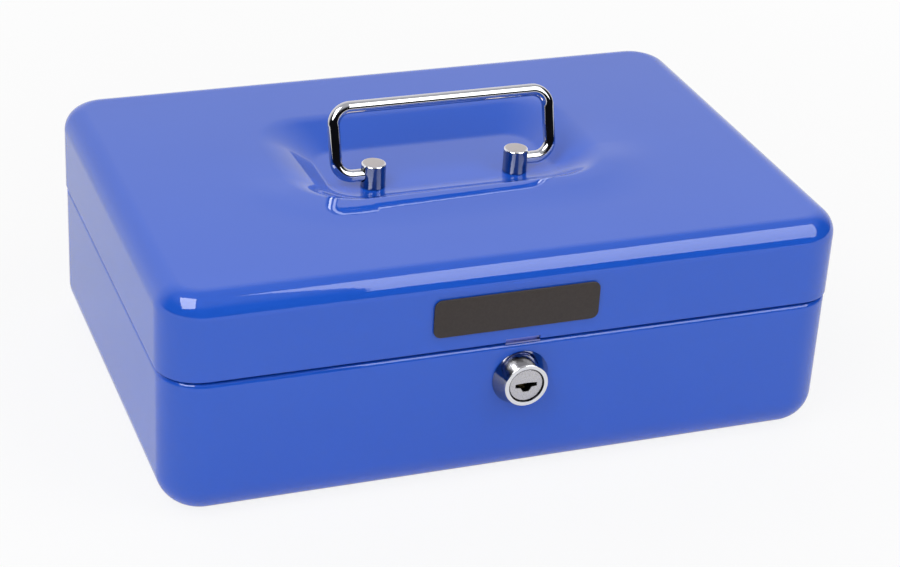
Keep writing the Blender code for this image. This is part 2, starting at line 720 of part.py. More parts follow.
def build_wafers(plug):
    """Brass wafers, level with the plug, with their windows to one side or the other."""
    half_x = WAFER_LENGTH / 2
    half_y = WAFER_WIDTH / 2
    outer = rounded_rectangle((-half_x, -half_y), (half_x, half_y), WAFER_CORNER, BEND_STEPS // 2)
    for index in range(WAFER_COUNT):
        shift = WINDOW_SHIFT if index % 2 else -WINDOW_SHIFT
        window = rounded_rectangle((WAFER_RIM - half_x + shift, WAFER_RIM - half_y),
                                   (half_x - WAFER_RIM + shift, half_y - WAFER_RIM), WINDOW_CORNER,
                                   BEND_STEPS // 3)
        lock_part("wafer_%d" % (index + 1), flat_mesh("wafer", outer, WAFER_THICKNESS, window), BRASS, plug,
                  wafer_depth(index))


def build_cam_stack(plug):
    """Stop washer, cam, washer and screw on the plug's tail."""
    tail = double_flat(TAIL_RADIUS + PLUG_CLEARANCE, TAIL_FLAT + PLUG_CLEARANCE)
    lug_start = math.pi / 2 - STOP_LUG_ANGLE / 2
    lug_end = lug_start + STOP_LUG_ANGLE
    disc = arc((0, 0), STOP_LUG_RADIUS, lug_start, lug_end, BEND_STEPS)
    disc += arc((0, 0), STOP_RADIUS, lug_end, lug_start + math.tau, TURN_STEPS)
    lock_part("stop_washer", flat_mesh("stop_washer", disc, STOP_THICKNESS, tail), ZINC, plug,
              STOP_BACK - STOP_THICKNESS / 2)
    half = CAM_WIDTH / 2
    angle = math.asin(half / CAM_HUB_RADIUS)
    cam = arc((0, 0), CAM_HUB_RADIUS, math.pi / 2 + angle, 2.5 * math.pi - angle, TURN_STEPS // 2)
    tip_x = half - CAM_TIP_RADIUS
    tip_y = CAM_LENGTH - CAM_TIP_RADIUS
    cam += arc((tip_x, tip_y), CAM_TIP_RADIUS, 0, math.pi / 2, BEND_STEPS)
    cam += arc((-tip_x, tip_y), CAM_TIP_RADIUS, math.pi / 2, math.pi, BEND_STEPS)
    lock_part("lock_cam", flat_mesh("lock_cam", cam, CAM_THICKNESS, tail), ZINC, plug,
              CAM_FRONT + CAM_THICKNESS / 2)
    washer_back = CAM_WASHER_FRONT + CAM_WASHER_THICKNESS
    inner = SCREW_RADIUS + GAP
    ring = [(CAM_WASHER_RADIUS, -CAM_WASHER_FRONT), (CAM_WASHER_RADIUS, -washer_back),
            (inner, -washer_back), (inner, -CAM_WASHER_FRONT)]
    turn(lock_part("cam_washer", profile_mesh("cam_washer", ring, True), ZINC, plug))
    half_head = SCREW_HEAD_HEIGHT / 2
    crown = arc((SCREW_HEAD_RADIUS - half_head, half_head - SCREW_HEAD_BACK), half_head, 0, -math.pi / 2,
                BEND_STEPS)
    profile = [(0, SCREW_TIP), (SCREW_RADIUS, SCREW_TIP), (SCREW_RADIUS, -SCREW_HEAD_FRONT),
               (SCREW_HEAD_RADIUS, -SCREW_HEAD_FRONT), *crown, (0, -SCREW_HEAD_BACK)]
    screw = turn(lock_part("cam_screw", profile_mesh("cam_screw", profile, False), ZINC, plug))
    reach = SCREW_HEAD_RADIUS + CUT_MARGIN
    slot = box_mesh("screw_slot", (-reach, -SCREW_SLOT / 2, -SCREW_HEAD_BACK - CUT_MARGIN),
                    (reach, SCREW_SLOT / 2, SCREW_SLOT - SCREW_HEAD_BACK))
    cut(screw, lock_cutter("screw_slot", slot))


def folded_sheet(name, rows, columns, keep):
    """Sheet-metal blank folded along its rows, with some cells left out.

    rows are points in Y and Z along the fold path, columns are places along X, and keep(row, column)
    says which cells between them are metal.
    """
    bm = bmesh.new()
    grid = [[bm.verts.new((x, y, z)) for x in columns] for y, z in rows]
    for row in range(len(rows) - 1):
        for column in range(len(columns) - 1):
            if keep(row, column):
                bm.faces.new((grid[row][column], grid[row][column + 1], grid[row + 1][column + 1],
                              grid[row + 1][column]))
    loose = [vert for vert in bm.verts if not vert.link_faces]
    bmesh.ops.delete(bm, geom=loose, context="VERTS")
    return mesh_of(bm, name)


def fold(obj, thickness):
    """Round the folds of a blank and give it its thickness to both sides."""
    bevel = obj.modifiers.new("fold", "BEVEL")
    bevel.width = FOLD_RADIUS
    bevel.segments = BEND_STEPS // 2
    bevel.limit_method = "ANGLE"
    bevel.angle_limit = SHARP_ANGLE
    thicken(obj, thickness, 0)


def build_catch(lid):
    """Lid catch: clip under the lid's edge, flange on its front wall, web over the upstand, and a hook
    that hangs beside the cam.
    """
    flange_y = -LID_INNER_Y + GAP + CATCH_SHEET / 2
    web_z = UPSTAND_TOP_Z + CATCH_WEB_RISE
    hook_y = -BASE_HALF_Y + CAM_FRONT + CAM_THICKNESS / 2
    stem_x = LOCK_X + CAM_LENGTH + CATCH_PLAY
    arm_top = LOCK_Z - CAM_WIDTH / 2 - CATCH_PLAY
    arm_x = LOCK_X + CAM_HUB_RADIUS + CATCH_HUB_CLEARANCE
    clip_left = LOCK_X - CLIP_HALF_WIDTH
    clip_right = LOCK_X + CLIP_HALF_WIDTH
    columns = [clip_left - GAP, arm_x, stem_x, stem_x + CATCH_STEM_WIDTH]
    rows = [(flange_y, SKIRT_TOP_Z - CATCH_TOP_MARGIN), (flange_y, web_z + CATCH_RELIEF), (flange_y, web_z),
            (hook_y - CATCH_RELIEF, web_z), (hook_y, web_z), (hook_y, arm_top),
            (hook_y, arm_top - CATCH_ARM_HEIGHT)]
    metal = [(0, 1, 2), (1, 2), (1, 2), (2,), (2,), (1, 2)]
    mesh = folded_sheet("lid_catch", rows, columns, lambda row, column: column in metal[row])
    catch = add_part("lid_catch", mesh, ZINC, lid)
    fold(catch, CATCH_SHEET)
    # The clip runs down inside the skirt and turns out under the lid's edge
    clip_low = SEAM_Z - GAP - CLIP_SHEET
    plate = box_mesh("catch_clip_plate", (clip_left, flange_y - CLIP_SHEET / 2, clip_low),
                     (clip_right, flange_y + CLIP_SHEET / 2, web_z + CLIP_LAP))
    lip = box_mesh("catch_clip_lip", (clip_left, CLIP_SETBACK - BOX_DEPTH / 2, clip_low),
                   (clip_right, flange_y, clip_low + CLIP_SHEET))
    join(catch, add_cutter("catch_clip_plate", plate), add_cutter("catch_clip_lip", lip))


def knuckle(name, low, high):
    """Helper tube round the hinge axis, in the world, for one hinge leaf."""
    bore = PIN_RADIUS + PIN_CLEARANCE
    tube = [(KNUCKLE_RADIUS, high), (KNUCKLE_RADIUS, low), (bore, low), (bore, high)]
    body = add_cutter(name, profile_mesh(name, tube, True), (0, HINGE_Y, HINGE_Z), (0, math.pi / 2, 0))
    return turn(body, HINGE_STEPS)


def build_hinge(lid, side, name):
    """One concealed hinge: leaf on the base wall, strap round the rim to the lid wall, and pin."""
    middle = side * HINGE_X
    half_lid = LID_KNUCKLE_LENGTH / 2
    half_all = half_lid + GAP + BASE_KNUCKLE_LENGTH
    half_sheet = LEAF_SHEET / 2
    axis = ((middle, HINGE_Y, HINGE_Z), (0, math.pi / 2, 0))
    past = half_all + CUT_MARGIN
    bore = rod_mesh("pin_bore", PIN_RADIUS + PIN_CLEARANCE, -past, past, HINGE_STEPS)
    bore_cutter = add_cutter("pin_bore_" + name, bore, *axis)
    # Leaf on the base, notched for the lid's knuckle
    leaf_y = WALL_INNER_Y - GAP - half_sheet
    leaf_top = HINGE_Z - KNUCKLE_RADIUS - 2 * GAP
    columns = [middle - half_all, middle - half_lid - GAP, middle + half_lid + GAP, middle + half_all]
    rows = [(leaf_y, HINGE_Z - LEAF_HEIGHT), (leaf_y, leaf_top), (leaf_y, HINGE_Z)]
    mesh = folded_sheet("hinge_base_leaf", rows, columns, lambda row, column: row == 0 or column != 1)
    leaf = add_part("hinge_base_leaf_" + name, mesh, ZINC)
    fold(leaf, LEAF_SHEET)
    join(leaf, knuckle("knuckle_a_" + name, columns[0], columns[1]),
         knuckle("knuckle_b_" + name, columns[2], columns[3]))
    cut(leaf, bore_cutter)
    # Strap that goes round the rim of the base when the lid swings back
    low_z = HINGE_Z - KNUCKLE_RADIUS + half_sheet
    web_z = SEAM_Z + STRAP_WEB_RISE
    flange_y = LID_INNER_Y - GAP - half_sheet
    rows = [(HINGE_Y, low_z), (STRAP_FRONT_Y, low_z), (STRAP_FRONT_Y, web_z), (flange_y, web_z),
            (flange_y, SKIRT_TOP_Z - STRAP_TOP_MARGIN)]
    columns = [middle - half_lid, middle + half_lid]
    mesh = folded_sheet("hinge_lid_leaf", rows, columns, lambda row, column: True)
    strap = add_part("hinge_lid_leaf_" + name, mesh, ZINC, lid)
    fold(strap, LEAF_SHEET)
    join(strap, knuckle("knuckle_c_" + name, *columns))
    cut(strap, bore_cutter)
    # Pin with a head at each end
    end = half_all + GAP
    head = end + PIN_HEAD_LENGTH
    crown = PIN_HEAD_RADIUS - PIN_HEAD_TAPER
    profile = [(0, head), (crown, head), (PIN_HEAD_RADIUS, end), (PIN_RADIUS, end),
               (PIN_RADIUS, -end), (PIN_HEAD_RADIUS, -end), (crown, -head), (0, -head)]
    pin = add_part("hinge_pin_" + name, profile_mesh("hinge_pin", profile, False), ZINC, None, *axis)
    turn(pin, HINGE_STEPS)


def build_tray_ledge(side, name):
    """Folded angle on a side wall that carries one end of the tray."""
    half = LEDGE_SHEET / 2
    wall_x = side * (WALL_INNER_X - GAP - half)
    shelf_x = side * (WALL_INNER_X - GAP - LEDGE_SHELF)
    section = [(wall_x, FOOT_RADIUS + LEDGE_FOOT_MARGIN), (wall_x, LEDGE_Z - half), (shelf_x, LEDGE_Z - half)]
    bm = bmesh.new()
    ends = [[bm.verts.new((x, y, z)) for x, z in section]
            for y in (TRAY_FRONT_Y + LEDGE_END_MARGIN, TRAY_BACK_Y - LEDGE_END_MARGIN)]
    for index in range(len(section) - 1):
        bm.faces.new((ends[0][index], ends[0][index + 1], ends[1][index + 1], ends[1][index]))
    bmesh.ops.recalc_face_normals(bm, faces=bm.faces)
    fold(add_part("tray_ledge_" + name, mesh_of(bm, "tray_ledge"), ZINC), LEDGE_SHEET)


def build_tray(tray):
    """Moulded tray: coin scoops in front, bays behind, hollow under the scoops, and finger notches."""
    outline = rounded_rectangle((-TRAY_HALF_X, TRAY_FRONT_Y), (TRAY_HALF_X, TRAY_BACK_Y), TRAY_RADIUS,
                                BEND_STEPS)
    body = add_part("coin_tray", flat_mesh("coin_tray", outline, TRAY_HEIGHT), TRAY_PLASTIC, tray,
                    (0, 0, TRAY_LOW_Z + TRAY_HEIGHT / 2))
    inner_x = TRAY_HALF_X - TRAY_WALL
    front = TRAY_FRONT_Y + TRAY_WALL
    split = front + CUP_LENGTH
    floor_z = TRAY_LOW_Z + TRAY_FLOOR
    above = TRAY_TOP_Z + CUT_MARGIN
    # Scoop section: a round trough whose lowest line leaves the floor's thickness
    depth = TRAY_HEIGHT - TRAY_FLOOR
    radius = CUP_LENGTH ** 2 / (8 * depth) + depth / 2
    centre_y = front + CUP_LENGTH / 2
    centre_z = floor_z + radius
    reach = math.asin(CUP_LENGTH / 2 / radius)
    scoop = arc((centre_y, centre_z), radius, -math.pi / 2 - reach, -math.pi / 2 + reach, SCOOP_STEPS)
    scoop += [(split, above), (front, above)]
    pitch = (2 * inner_x + TRAY_WALL) / TRAY_CUPS
    for index in range(TRAY_CUPS):
        left = -inner_x + index * pitch
        mesh = sweep_solid("coin_cup", scoop, left, left + pitch - TRAY_WALL)
        cut(body, add_cutter("coin_cup_%d" % (index + 1), mesh))
    # Bays behind the scoops
    bay_pitch = (2 * inner_x + TRAY_WALL) / TRAY_BAYS
    bay_front = split + TRAY_WALL
    bay_back = TRAY_BACK_Y - TRAY_WALL
    for index in range(TRAY_BAYS):
        left = -inner_x + index * bay_pitch
        bay = rounded_rectangle((left, bay_front), (left + bay_pitch - TRAY_WALL, bay_back),
                                TRAY_RADIUS - TRAY_WALL, BEND_STEPS)
        mesh = flat_mesh("tray_bay", bay, above - floor_z)
        cut(body, add_cutter("tray_bay_%d" % (index + 1), mesh, (0, 0, (above + floor_z) / 2)))
    # Hollows under the two rising sides of the scoops
    outer = radius + TRAY_FLOOR
    below = TRAY_LOW_Z - CUT_MARGIN
    end_x = inner_x - TRAY_RADIUS
    for toward, edge, name in ((-1, front, "front"), (1, split - TRAY_FLOOR, "back")):
        start = math.acos(abs(edge - centre_y) / outer)
        hollow = []
        for step in range(SCOOP_STEPS + 1):
            angle = between(start, HOLLOW_END, step / SCOOP_STEPS)
            hollow.append((centre_y + toward * outer * math.cos(angle), centre_z - outer * math.sin(angle)))
        hollow += [(hollow[-1][0], below), (edge, below)]
        cut(body, add_cutter("scoop_hollow_" + name, sweep_solid("scoop_hollow", hollow, -end_x, end_x)))
    # Finger notches in the end walls, in line with one in the wall between the bays
    past = TRAY_HALF_X + CUT_MARGIN
    notch = rod_mesh("finger_notch", NOTCH_RADIUS, -past, past)
    place = (0, (bay_front + bay_back) / 2, TRAY_TOP_Z + NOTCH_RADIUS - NOTCH_DEPTH)
    cut(body, add_cutter("finger_notches", notch, place, (0, math.pi / 2, 0)))


def main():
    """Build the whole box at rest: lid shut, handle up, lock open."""
    lid = make_empty("lid_axis", (0, HINGE_Y, HINGE_Z))
    handle = make_empty("handle_axis", (0, POST_Y, PIVOT_Z))
    carry(handle, lid)
    plug = make_empty("lock_axis", LOCK_PLACE)
    tray = make_empty("tray_axis", (0, 0, LEDGE_Z))
    build_base_shell()
    build_lock_housing()
    build_lock_nut()
    build_lid_shell(lid)
    build_badge(lid)
    build_catch(lid)
    build_bail(handle)
    build_lock_plug(plug)
    build_wafers(plug)
    build_cam_stack(plug)
    for side, name in SIDES:
        build_post(lid, side, name)
        build_hinge(lid, side, name)
        build_tray_ledge(side, name)
    build_tray(tray)


main()
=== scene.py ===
"""Looks of a pressed-steel cash box: enamelled shells, chromed handle and lock, bare badge and coin tray.

Metres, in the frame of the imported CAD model: X runs along the front, -Y is the front and Z is up.
"""
import math

import bmesh
import bpy
from mathutils import Matrix, Vector


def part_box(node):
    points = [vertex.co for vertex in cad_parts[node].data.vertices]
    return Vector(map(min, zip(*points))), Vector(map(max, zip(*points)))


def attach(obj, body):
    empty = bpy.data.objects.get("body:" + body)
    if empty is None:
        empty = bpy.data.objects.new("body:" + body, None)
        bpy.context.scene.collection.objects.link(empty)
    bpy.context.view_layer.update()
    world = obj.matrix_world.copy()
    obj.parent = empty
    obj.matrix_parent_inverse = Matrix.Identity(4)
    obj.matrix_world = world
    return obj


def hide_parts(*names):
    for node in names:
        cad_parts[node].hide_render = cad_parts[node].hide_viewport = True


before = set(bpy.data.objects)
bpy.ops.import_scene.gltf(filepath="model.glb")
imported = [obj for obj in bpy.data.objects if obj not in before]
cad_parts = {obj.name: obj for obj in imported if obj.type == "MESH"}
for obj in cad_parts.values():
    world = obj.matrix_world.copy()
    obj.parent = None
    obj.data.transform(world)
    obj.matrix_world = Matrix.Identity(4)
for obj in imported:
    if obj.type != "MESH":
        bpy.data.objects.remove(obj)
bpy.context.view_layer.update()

# Shells, as in the CAD model
BOX_HALF_X = 0.125
BOX_HALF_Y = 0.086
LID_TOP_Z = 0.0855
SEAM_Z = 0.0546
SHOULDER_Z = 0.0536
CORNER_RADIUS = 0.016
SHEET = 0.0008
LID_OVERHANG = 0.0004
LID_EDGE_RADIUS = 0.0085
FOOT_RADIUS = 0.0125
SHOULDER_RADIUS = 0.0020
UPSTAND_INSET = 0.0026
UPSTAND_RADIUS = 0.0005
UPSTAND_TOP_Z = 0.0606
UPSTAND_ROUND = 0.00018
HINGE_NOTCH_SIDE = 0.0025
HINGE_NOTCH_Y = (0.0802, 0.0845)
CLIP_HALF_WIDTH = 0.0064
CLIP_NOTCH = 0.0014
HEM_DIP = 0.0005
HEM_RUN = CORNER_RADIUS * 0.9
HEM_ROUND = 0.00036

# Dished recess and the low lip in front of it
RECESS_DEPTH = 0.0062
RIM_HALF_X = 0.0624
RIM_FRONT_Y = -0.0288
RIM_BACK_Y = 0.0470
RIM_FRONT_RADIUS = 0.0260
RIM_BACK_RADIUS = 0.0200
FLOOR_HALF_X = 0.0424
FLOOR_FRONT_Y = -0.0084
FLOOR_BACK_Y = 0.0245
FLOOR_RADIUS = 0.0090
SIDE_BLENDS = (0.62, 0.10)
FRONT_BLENDS = (0.14, 0.84)
BACK_BLENDS = (0.24, 0.10)
LIP_ENDS_X = (-0.040, 0.020)
LIP_TILTS = (0.034, 0.080)
LIP_CAPS = (0.0130, 0.0070)
LIP_REACH = 0.0240
LIP_FADE_Y = 0.002
LIP_FULL_Y = -0.020

# Handle and posts
POST_X = 0.0277
POST_Y = -0.0052
POST_RADIUS = 0.00455
POST_HEIGHT = 0.0092
POST_EDGE = 0.0006
SHANK_RADIUS = 0.0025
WASHER_SHEET = 0.0010
PEEN = ((0.0038, 0.0), (0.0036, 0.0006), (0.0027, 0.0013))
PIVOT_Z = 0.0841
WIRE_RADIUS = 0.0023
WIRE_CLEARANCE = 0.0003
WIRE_END_DEPTH = 0.0060
BAIL_HALF = 0.0416
BAIL_LENGTH = 0.0249
BAIL_TOP_BEND = 0.0064
BAIL_LOW_BEND = 0.0060
BAIL_TILT = math.radians(17.4)

# Lock
LOCK_X = 0.0012
LOCK_Y = -0.0856
LOCK_Z = 0.0400
LOCK_PROUD = 0.0064
LOCK_FRAME = Matrix.Translation((LOCK_X, LOCK_Y, LOCK_Z)) @ Matrix.Rotation(math.pi / 2, 4, "X")
FACE_EDGE = 0.0002
BEZEL_FACE_RADIUS = 0.0079
BEZEL_BASE_RADIUS = 0.0104
BEZEL_EDGE = 0.0003
BARREL_RADIUS = 0.0080
BARREL_LENGTH = 0.0120
PLUG_SETBACK = 0.0005
PLUG_HEAD_RADIUS = 0.0061
PLUG_HEAD_LENGTH = 0.0030
PLUG_CLEARANCE = 0.0003
PLUG_RADIUS = 0.0055
KEYWAY_WIDTH = 0.0080
KEYWAY_HEIGHT = 0.0019
KEYWAY_END_HEIGHT = 0.0014
KEYWAY_STEP_WIDTH = 0.0042
KEYWAY_STEP_HEIGHT = 0.0016
KEYWAY_DEPTH = 0.0138
WAFERS = 4
TAIL_RADIUS = 0.0040
TAIL_END = 0.0155
TAIL_FLAT_X = 0.003
TAIL_FLAT_REACH = 0.006
SCREW_HOLE_RADIUS = 0.0021

# Badge and coin tray
BADGE_RADIUS = 0.0028
BADGE_EDGE = 0.0002
TRAY_WALL = 0.0020
TRAY_FLOOR = 0.0018
TRAY_RADIUS = 0.0100
TRAY_EDGE = 0.0004
TRAY_CUPS = 5
TRAY_BAYS = 2
CUP_LENGTH = 0.0640
NOTCH_RADIUS = 0.0110
NOTCH_DEPTH = 0.0100
HOLLOW_END = math.radians(72)

# Cutters and fine edges
GAP = 0.0003
PAST = 0.002
HOLE_DEPTH = 0.003
NODE_EDGE = 0.0001
SHARP = math.radians(32)

# Facets of the fine meshes
SUPPORT = 0.0006
CORNER_STEPS = 20
FILLET_STEPS = 16
RECESS_STEPS = 44
LIP_STEPS = 24
UPSTAND_STEPS = 5
SHOULDER_STEPS = 10
BEND_STEPS = 28
WIRE_STEPS = 22
TURN_STEPS = 96
EDGE_STEPS = 6
FACE_EDGE_STEPS = 4
HOLE_STEPS = 48
SCREW_STEPS = 32
PLATE_CORNER_STEPS = 12
SCOOP_STEPS = 40
HOLLOW_STEPS = 24
ON_AXIS = 1e-7
SAME_PLACE = 1e-6

# Linear tones of each finish, dark and light
ENAMEL_TONES = ((0.0165, 0.118, 0.715), (0.0185, 0.124, 0.735))
CHROME_TONES = ((0.54, 0.55, 0.57), (0.66, 0.67, 0.69))
POST_TOP_TONES = ((0.44, 0.41, 0.39), (0.60, 0.56, 0.54))
# Post sides are darker than the handle's chrome, as painted shade in what they reflect, and their round top
# edge has a painted highlight
POST_SIDE_TONES = ((0.25, 0.26, 0.29), (0.34, 0.35, 0.38))
POST_EDGE_HIGHLIGHT = (0.80, 0.80, 0.82)
# Bezel cone darkened as painted shade, its face lightened as a painted highlight, and its bore near black
# as painted shade in the gap round the plug
BEZEL_CONE_TONES = ((0.28, 0.28, 0.30), (0.38, 0.38, 0.40))
BEZEL_FACE_TONE = (0.82, 0.82, 0.84)
BEZEL_GAP_SHADE = (0.05, 0.05, 0.06)
PLUG_TONES = ((0.50, 0.49, 0.51), (0.66, 0.65, 0.68))
# Painted shade down the plug's keyway and sides
PLUG_DEPTH_SHADE = (0.04, 0.04, 0.04)
ZINC_TONES = ((0.44, 0.45, 0.46), (0.66, 0.67, 0.69))
# Zinc of the lid's catch, tinted blue as a painted reflection of the enamel round it in the seam
CATCH_ZINC_TONES = ((0.20, 0.23, 0.50), (0.30, 0.34, 0.66))
# Brass darkened as painted shade for the keyway that the wafers show through
BRASS_TONES = ((0.30, 0.21, 0.09), (0.44, 0.32, 0.14))
BADGE_TONES = ((0.034, 0.027, 0.024), (0.066, 0.053, 0.048))
TRAY_TONES = ((0.014, 0.014, 0.016), (0.026, 0.026, 0.028))
TABLE_TONE = (0.93, 0.93, 0.93)
WHITE = (1.0, 1.0, 1.0)

# Gloss of each finish: a range of its grain, and the range of roughness which that gives
ENAMEL_GLOSS = (0.25, 0.75, 0.020, 0.042)
CHROME_GLOSS = (0.35, 0.75, 0.035, 0.11)
POST_TOP_GLOSS = (0.3, 0.7, 0.34, 0.48)
POST_SIDE_GLOSS = (0.35, 0.75, 0.04, 0.11)
BEZEL_GLOSS = (0.35, 0.7, 0.05, 0.15)
PLUG_GLOSS = (0.3, 0.7, 0.20, 0.34)
ZINC_GLOSS = (0.3, 0.7, 0.26, 0.46)
CATCH_ZINC_GLOSS = (0.3, 0.7, 0.30, 0.48)
BRASS_GLOSS = (0.3, 0.7, 0.30, 0.48)
BADGE_GLOSS = (0.3, 0.7, 0.30, 0.46)
TRAY_GLOSS = (0.3, 0.7, 0.40, 0.58)
TABLE_ROUGHNESS = 0.9

# Other looks
ENAMEL_IOR = 1.58
BADGE_IOR = 1.36
TRAY_IOR = 1.50
BORDER = 0.0001
TURNING_RINGS = 24000.0
DRAWING_LINES = (1.0, 14.0, 1.0)

# Camera, fitted to the photograph
SENSOR_WIDTH = 36.0
LENS = 92.83
CLIP_NEAR = 0.01
CLIP_FAR = 50.0
CAMERA_PLACE = (-0.2796, -0.7247, 0.4461)
CAMERA_AXES = ((0.9385, 0.1165, -0.3251), (-0.3412, 0.4581, -0.8208), (0.0533, 0.8813, 0.4696))
CAMERA_PAN = 0.00065

# Lights: the directions of a softbox's width and height, those sizes, and how far off and bright it is
LIGHT_AIM = (0, 0, 0.06)
LEFT_BOX = ((0.777, -0.546, 0.311), (0.443, 0.658, 0.608), 0.55, 0.90)
RIGHT_BOX = ((0.858, 0.389, -0.335), (-0.092, 0.759, 0.644), 0.73, 1.045)
FILL_BOX = ((0.868, -0.496, 0.0), (0.31, 0.54, 0.78), 1.0, 1.0)
BOX_DISTANCE = 1.1
GLINT_DISTANCE = 1.11
FILL_DISTANCE = 1.5
LEFT_RADIANCE = 2.6
RIGHT_RADIANCE = 1.83
LEFT_GLINT = 4.7
RIGHT_GLINT = 2.0
FILL_RADIANCE = 1.45

# World: where its tone turns pale, and its two tones
SKY_RISE_Z = (-0.30, -0.10)
SKY_BEHIND_Y = (0.10, 0.72)
SKY_ABOVE_Z = (0.45, 0.90)
SKY_ABOVE_SHARE = 0.60
SKY_DIM = (0.006, 0.006, 0.008)
SKY_PALE = (1.00, 0.99, 1.02)

# Table: its extent, and how it glows from the middle outwards
TABLE_X = (-1.3, 1.3)
TABLE_Y = (-1.0, 1.5)
TABLE_DROP = 0.0002
SHADOW_RADII = (0.16, 0.62)
TABLE_VIEW_GLOW = (0.88, 1.0)
TABLE_MIRROR_GLOW = (0.42, 1.0)


def arc(centre, radius, start, end, steps):
    """Points along an arc, both ends included."""
    points = []
    for step in range(steps + 1):
        angle = start + (end - start) * step / steps
        points.append((centre[0] + radius * math.cos(angle), centre[1] + radius * math.sin(angle)))
    return points


def outline(low, high, radius, steps=CORNER_STEPS):
    """Round-cornered rectangle, anticlockwise, with a point on each straight run close to each corner.

    The radius is one for all corners, or a pair for the front and the back.
    """
    quarter = math.pi / 2
    front, back = radius if isinstance(radius, tuple) else (radius, radius)
    corners = [(high[0] - front, low[1] + front, front, -quarter),
               (high[0] - back, high[1] - back, back, 0.0),
               (low[0] + back, high[1] - back, back, quarter),
               (low[0] + front, low[1] + front, front, 2 * quarter)]
    points = []
    for x, y, turn, start in corners:
        bend = arc((x, y), turn, start, start + quarter, steps)
        first = (bend[0][0] + SUPPORT * math.sin(start), bend[0][1] - SUPPORT * math.cos(start))
        last = (bend[-1][0] - SUPPORT * math.cos(start), bend[-1][1] - SUPPORT * math.sin(start))
        points += [first, *bend, last]
    return points


def inset_outline(half_x, half_y, inset, radius):
    """Outline about the origin, drawn in by an inset."""
    x = half_x - inset
    y = half_y - inset
    return outline((-x, -y), (x, y), radius - inset)


def at_height(points, z):
    """Lift a flat outline to a height."""
    return [(x, y, z) for x, y in points]


def loft(name, rings):
    """Surface through rings of equal point counts, closed by a face on the last one."""
    bm = bmesh.new()
    loops = [[bm.verts.new(point) for point in ring] for ring in rings]
    count = len(loops[0])
    for lower, upper in zip(loops, loops[1:]):
        for index in range(count):
            after = (index + 1) % count
            bm.faces.new((lower[index], lower[after], upper[after], upper[index]))
    bm.faces.new(loops[-1])
    return mesh_from(bm, name)


def mesh_from(bm, name):
    """Finish a bmesh."""
    mesh = bpy.data.meshes.new(name)
    bm.to_mesh(mesh)
    bm.free()
    return mesh


def lathe(name, profile, steps=TURN_STEPS):
    """Solid turned about local Z from points of radius and height.

    The ends of the profile lie on the axis or meet each other.
    """
    bm = bmesh.new()
    rings = []
    for radius, height in profile:
        if radius < ON_AXIS:
            rings.append([bm.verts.new((0, 0, height))])
            continue
        rings.append([bm.verts.new((radius * math.cos(math.tau * step / steps),
                                    radius * math.sin(math.tau * step / steps), height))
                      for step in range(steps)])
    pairs = list(zip(rings, rings[1:]))
    if len(rings[0]) > 1 and len(rings[-1]) > 1:
        pairs.append((rings[-1], rings[0]))
    for first, second in pairs:
        for step in range(steps):
            after = (step + 1) % steps
            if len(first) == 1:
                bm.faces.new((first[0], second[step], second[after]))
            elif len(second) == 1:
                bm.faces.new((first[step], second[0], first[after]))
            else:
                bm.faces.new((first[step], second[step], second[after], first[after]))
    bmesh.ops.recalc_face_normals(bm, faces=bm.faces)
    return mesh_from(bm, name)


def prism(name, points, low, high):
    """Solid of a closed outline between two heights."""
    bm = bmesh.new()
    face = bm.faces.new([bm.verts.new((x, y, low)) for x, y in points])
    grown = bmesh.ops.extrude_face_region(bm, geom=[face])
    moved = [item for item in grown["geom"] if isinstance(item, bmesh.types.BMVert)]
    bmesh.ops.translate(bm, vec=(0, 0, high - low), verts=moved)
    bmesh.ops.recalc_face_normals(bm, faces=bm.faces)
    return mesh_from(bm, name)


def box_prism(name, low, high):
    """Box between two corners."""
    corners = [(low[0], low[1]), (high[0], low[1]), (high[0], high[1]), (low[0], high[1])]
    return prism(name, corners, low[2], high[2])


def new_object(name, mesh, matrix=None):
    """Object in the scene with its place worked into its mesh."""
    if matrix is not None:
        mesh.transform(matrix)
    obj = bpy.data.objects.new(name, mesh)
    bpy.context.scene.collection.objects.link(obj)
    return obj


def peg(name, radius, first, last, place, steps=HOLE_STEPS):
    """Round cutter between two heights on its own axis."""
    mesh = lathe(name, [(0, first), (radius, first), (radius, last), (0, last)], steps)
    return new_object(name, mesh, place)


def block(name, low, high, place=None):
    """Square cutter between two corners."""
    return new_object(name, box_prism(name, low, high), place)


def boolean(obj, operation, *tools):
    """Cut or fuse other meshes, which are then removed."""
    for tool in tools:
        modifier = obj.modifiers.new(tool.name, "BOOLEAN")
        modifier.operation = operation
        modifier.solver = "EXACT"
        modifier.object = tool
    settle(obj)
    for tool in tools:
        bpy.data.objects.remove(tool, do_unlink=True)


def bevel(obj, width, segments=3, degrees=50):
    """Round an object's edges that are sharper than an angle."""
    modifier = obj.modifiers.new("round", "BEVEL")
    modifier.width = width
    modifier.segments = segments
    modifier.limit_method = "ANGLE"
    modifier.angle_limit = math.radians(degrees)
    settle(obj)


def thicken(obj, thickness):
    """Give an open surface its sheet thickness, inwards."""
    modifier = obj.modifiers.new("sheet", "SOLIDIFY")
    modifier.thickness = thickness
    modifier.offset = -1
    modifier.use_even_offset = True
    modifier.use_quality_normals = True
    settle(obj)


def settle(obj):
    """Work an object's modifiers into its mesh."""
    graph = bpy.context.evaluated_depsgraph_get()
    mesh = bpy.data.meshes.new_from_object(obj.evaluated_get(graph))
    old = obj.data
    obj.modifiers.clear()
    obj.data = mesh
    mesh.name = old.name
    bpy.data.meshes.remove(old)


def dress(obj, material, body, slot, *nodes):
    """Shade a piece, and make it stand for CAD nodes on their body."""
    obj.data.shade_smooth()
    obj.data.set_sharp_from_angle(angle=SHARP)
    obj.data.materials.clear()
    obj.data.materials.append(material)
    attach(obj, body)
    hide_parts(*nodes)
    return obj


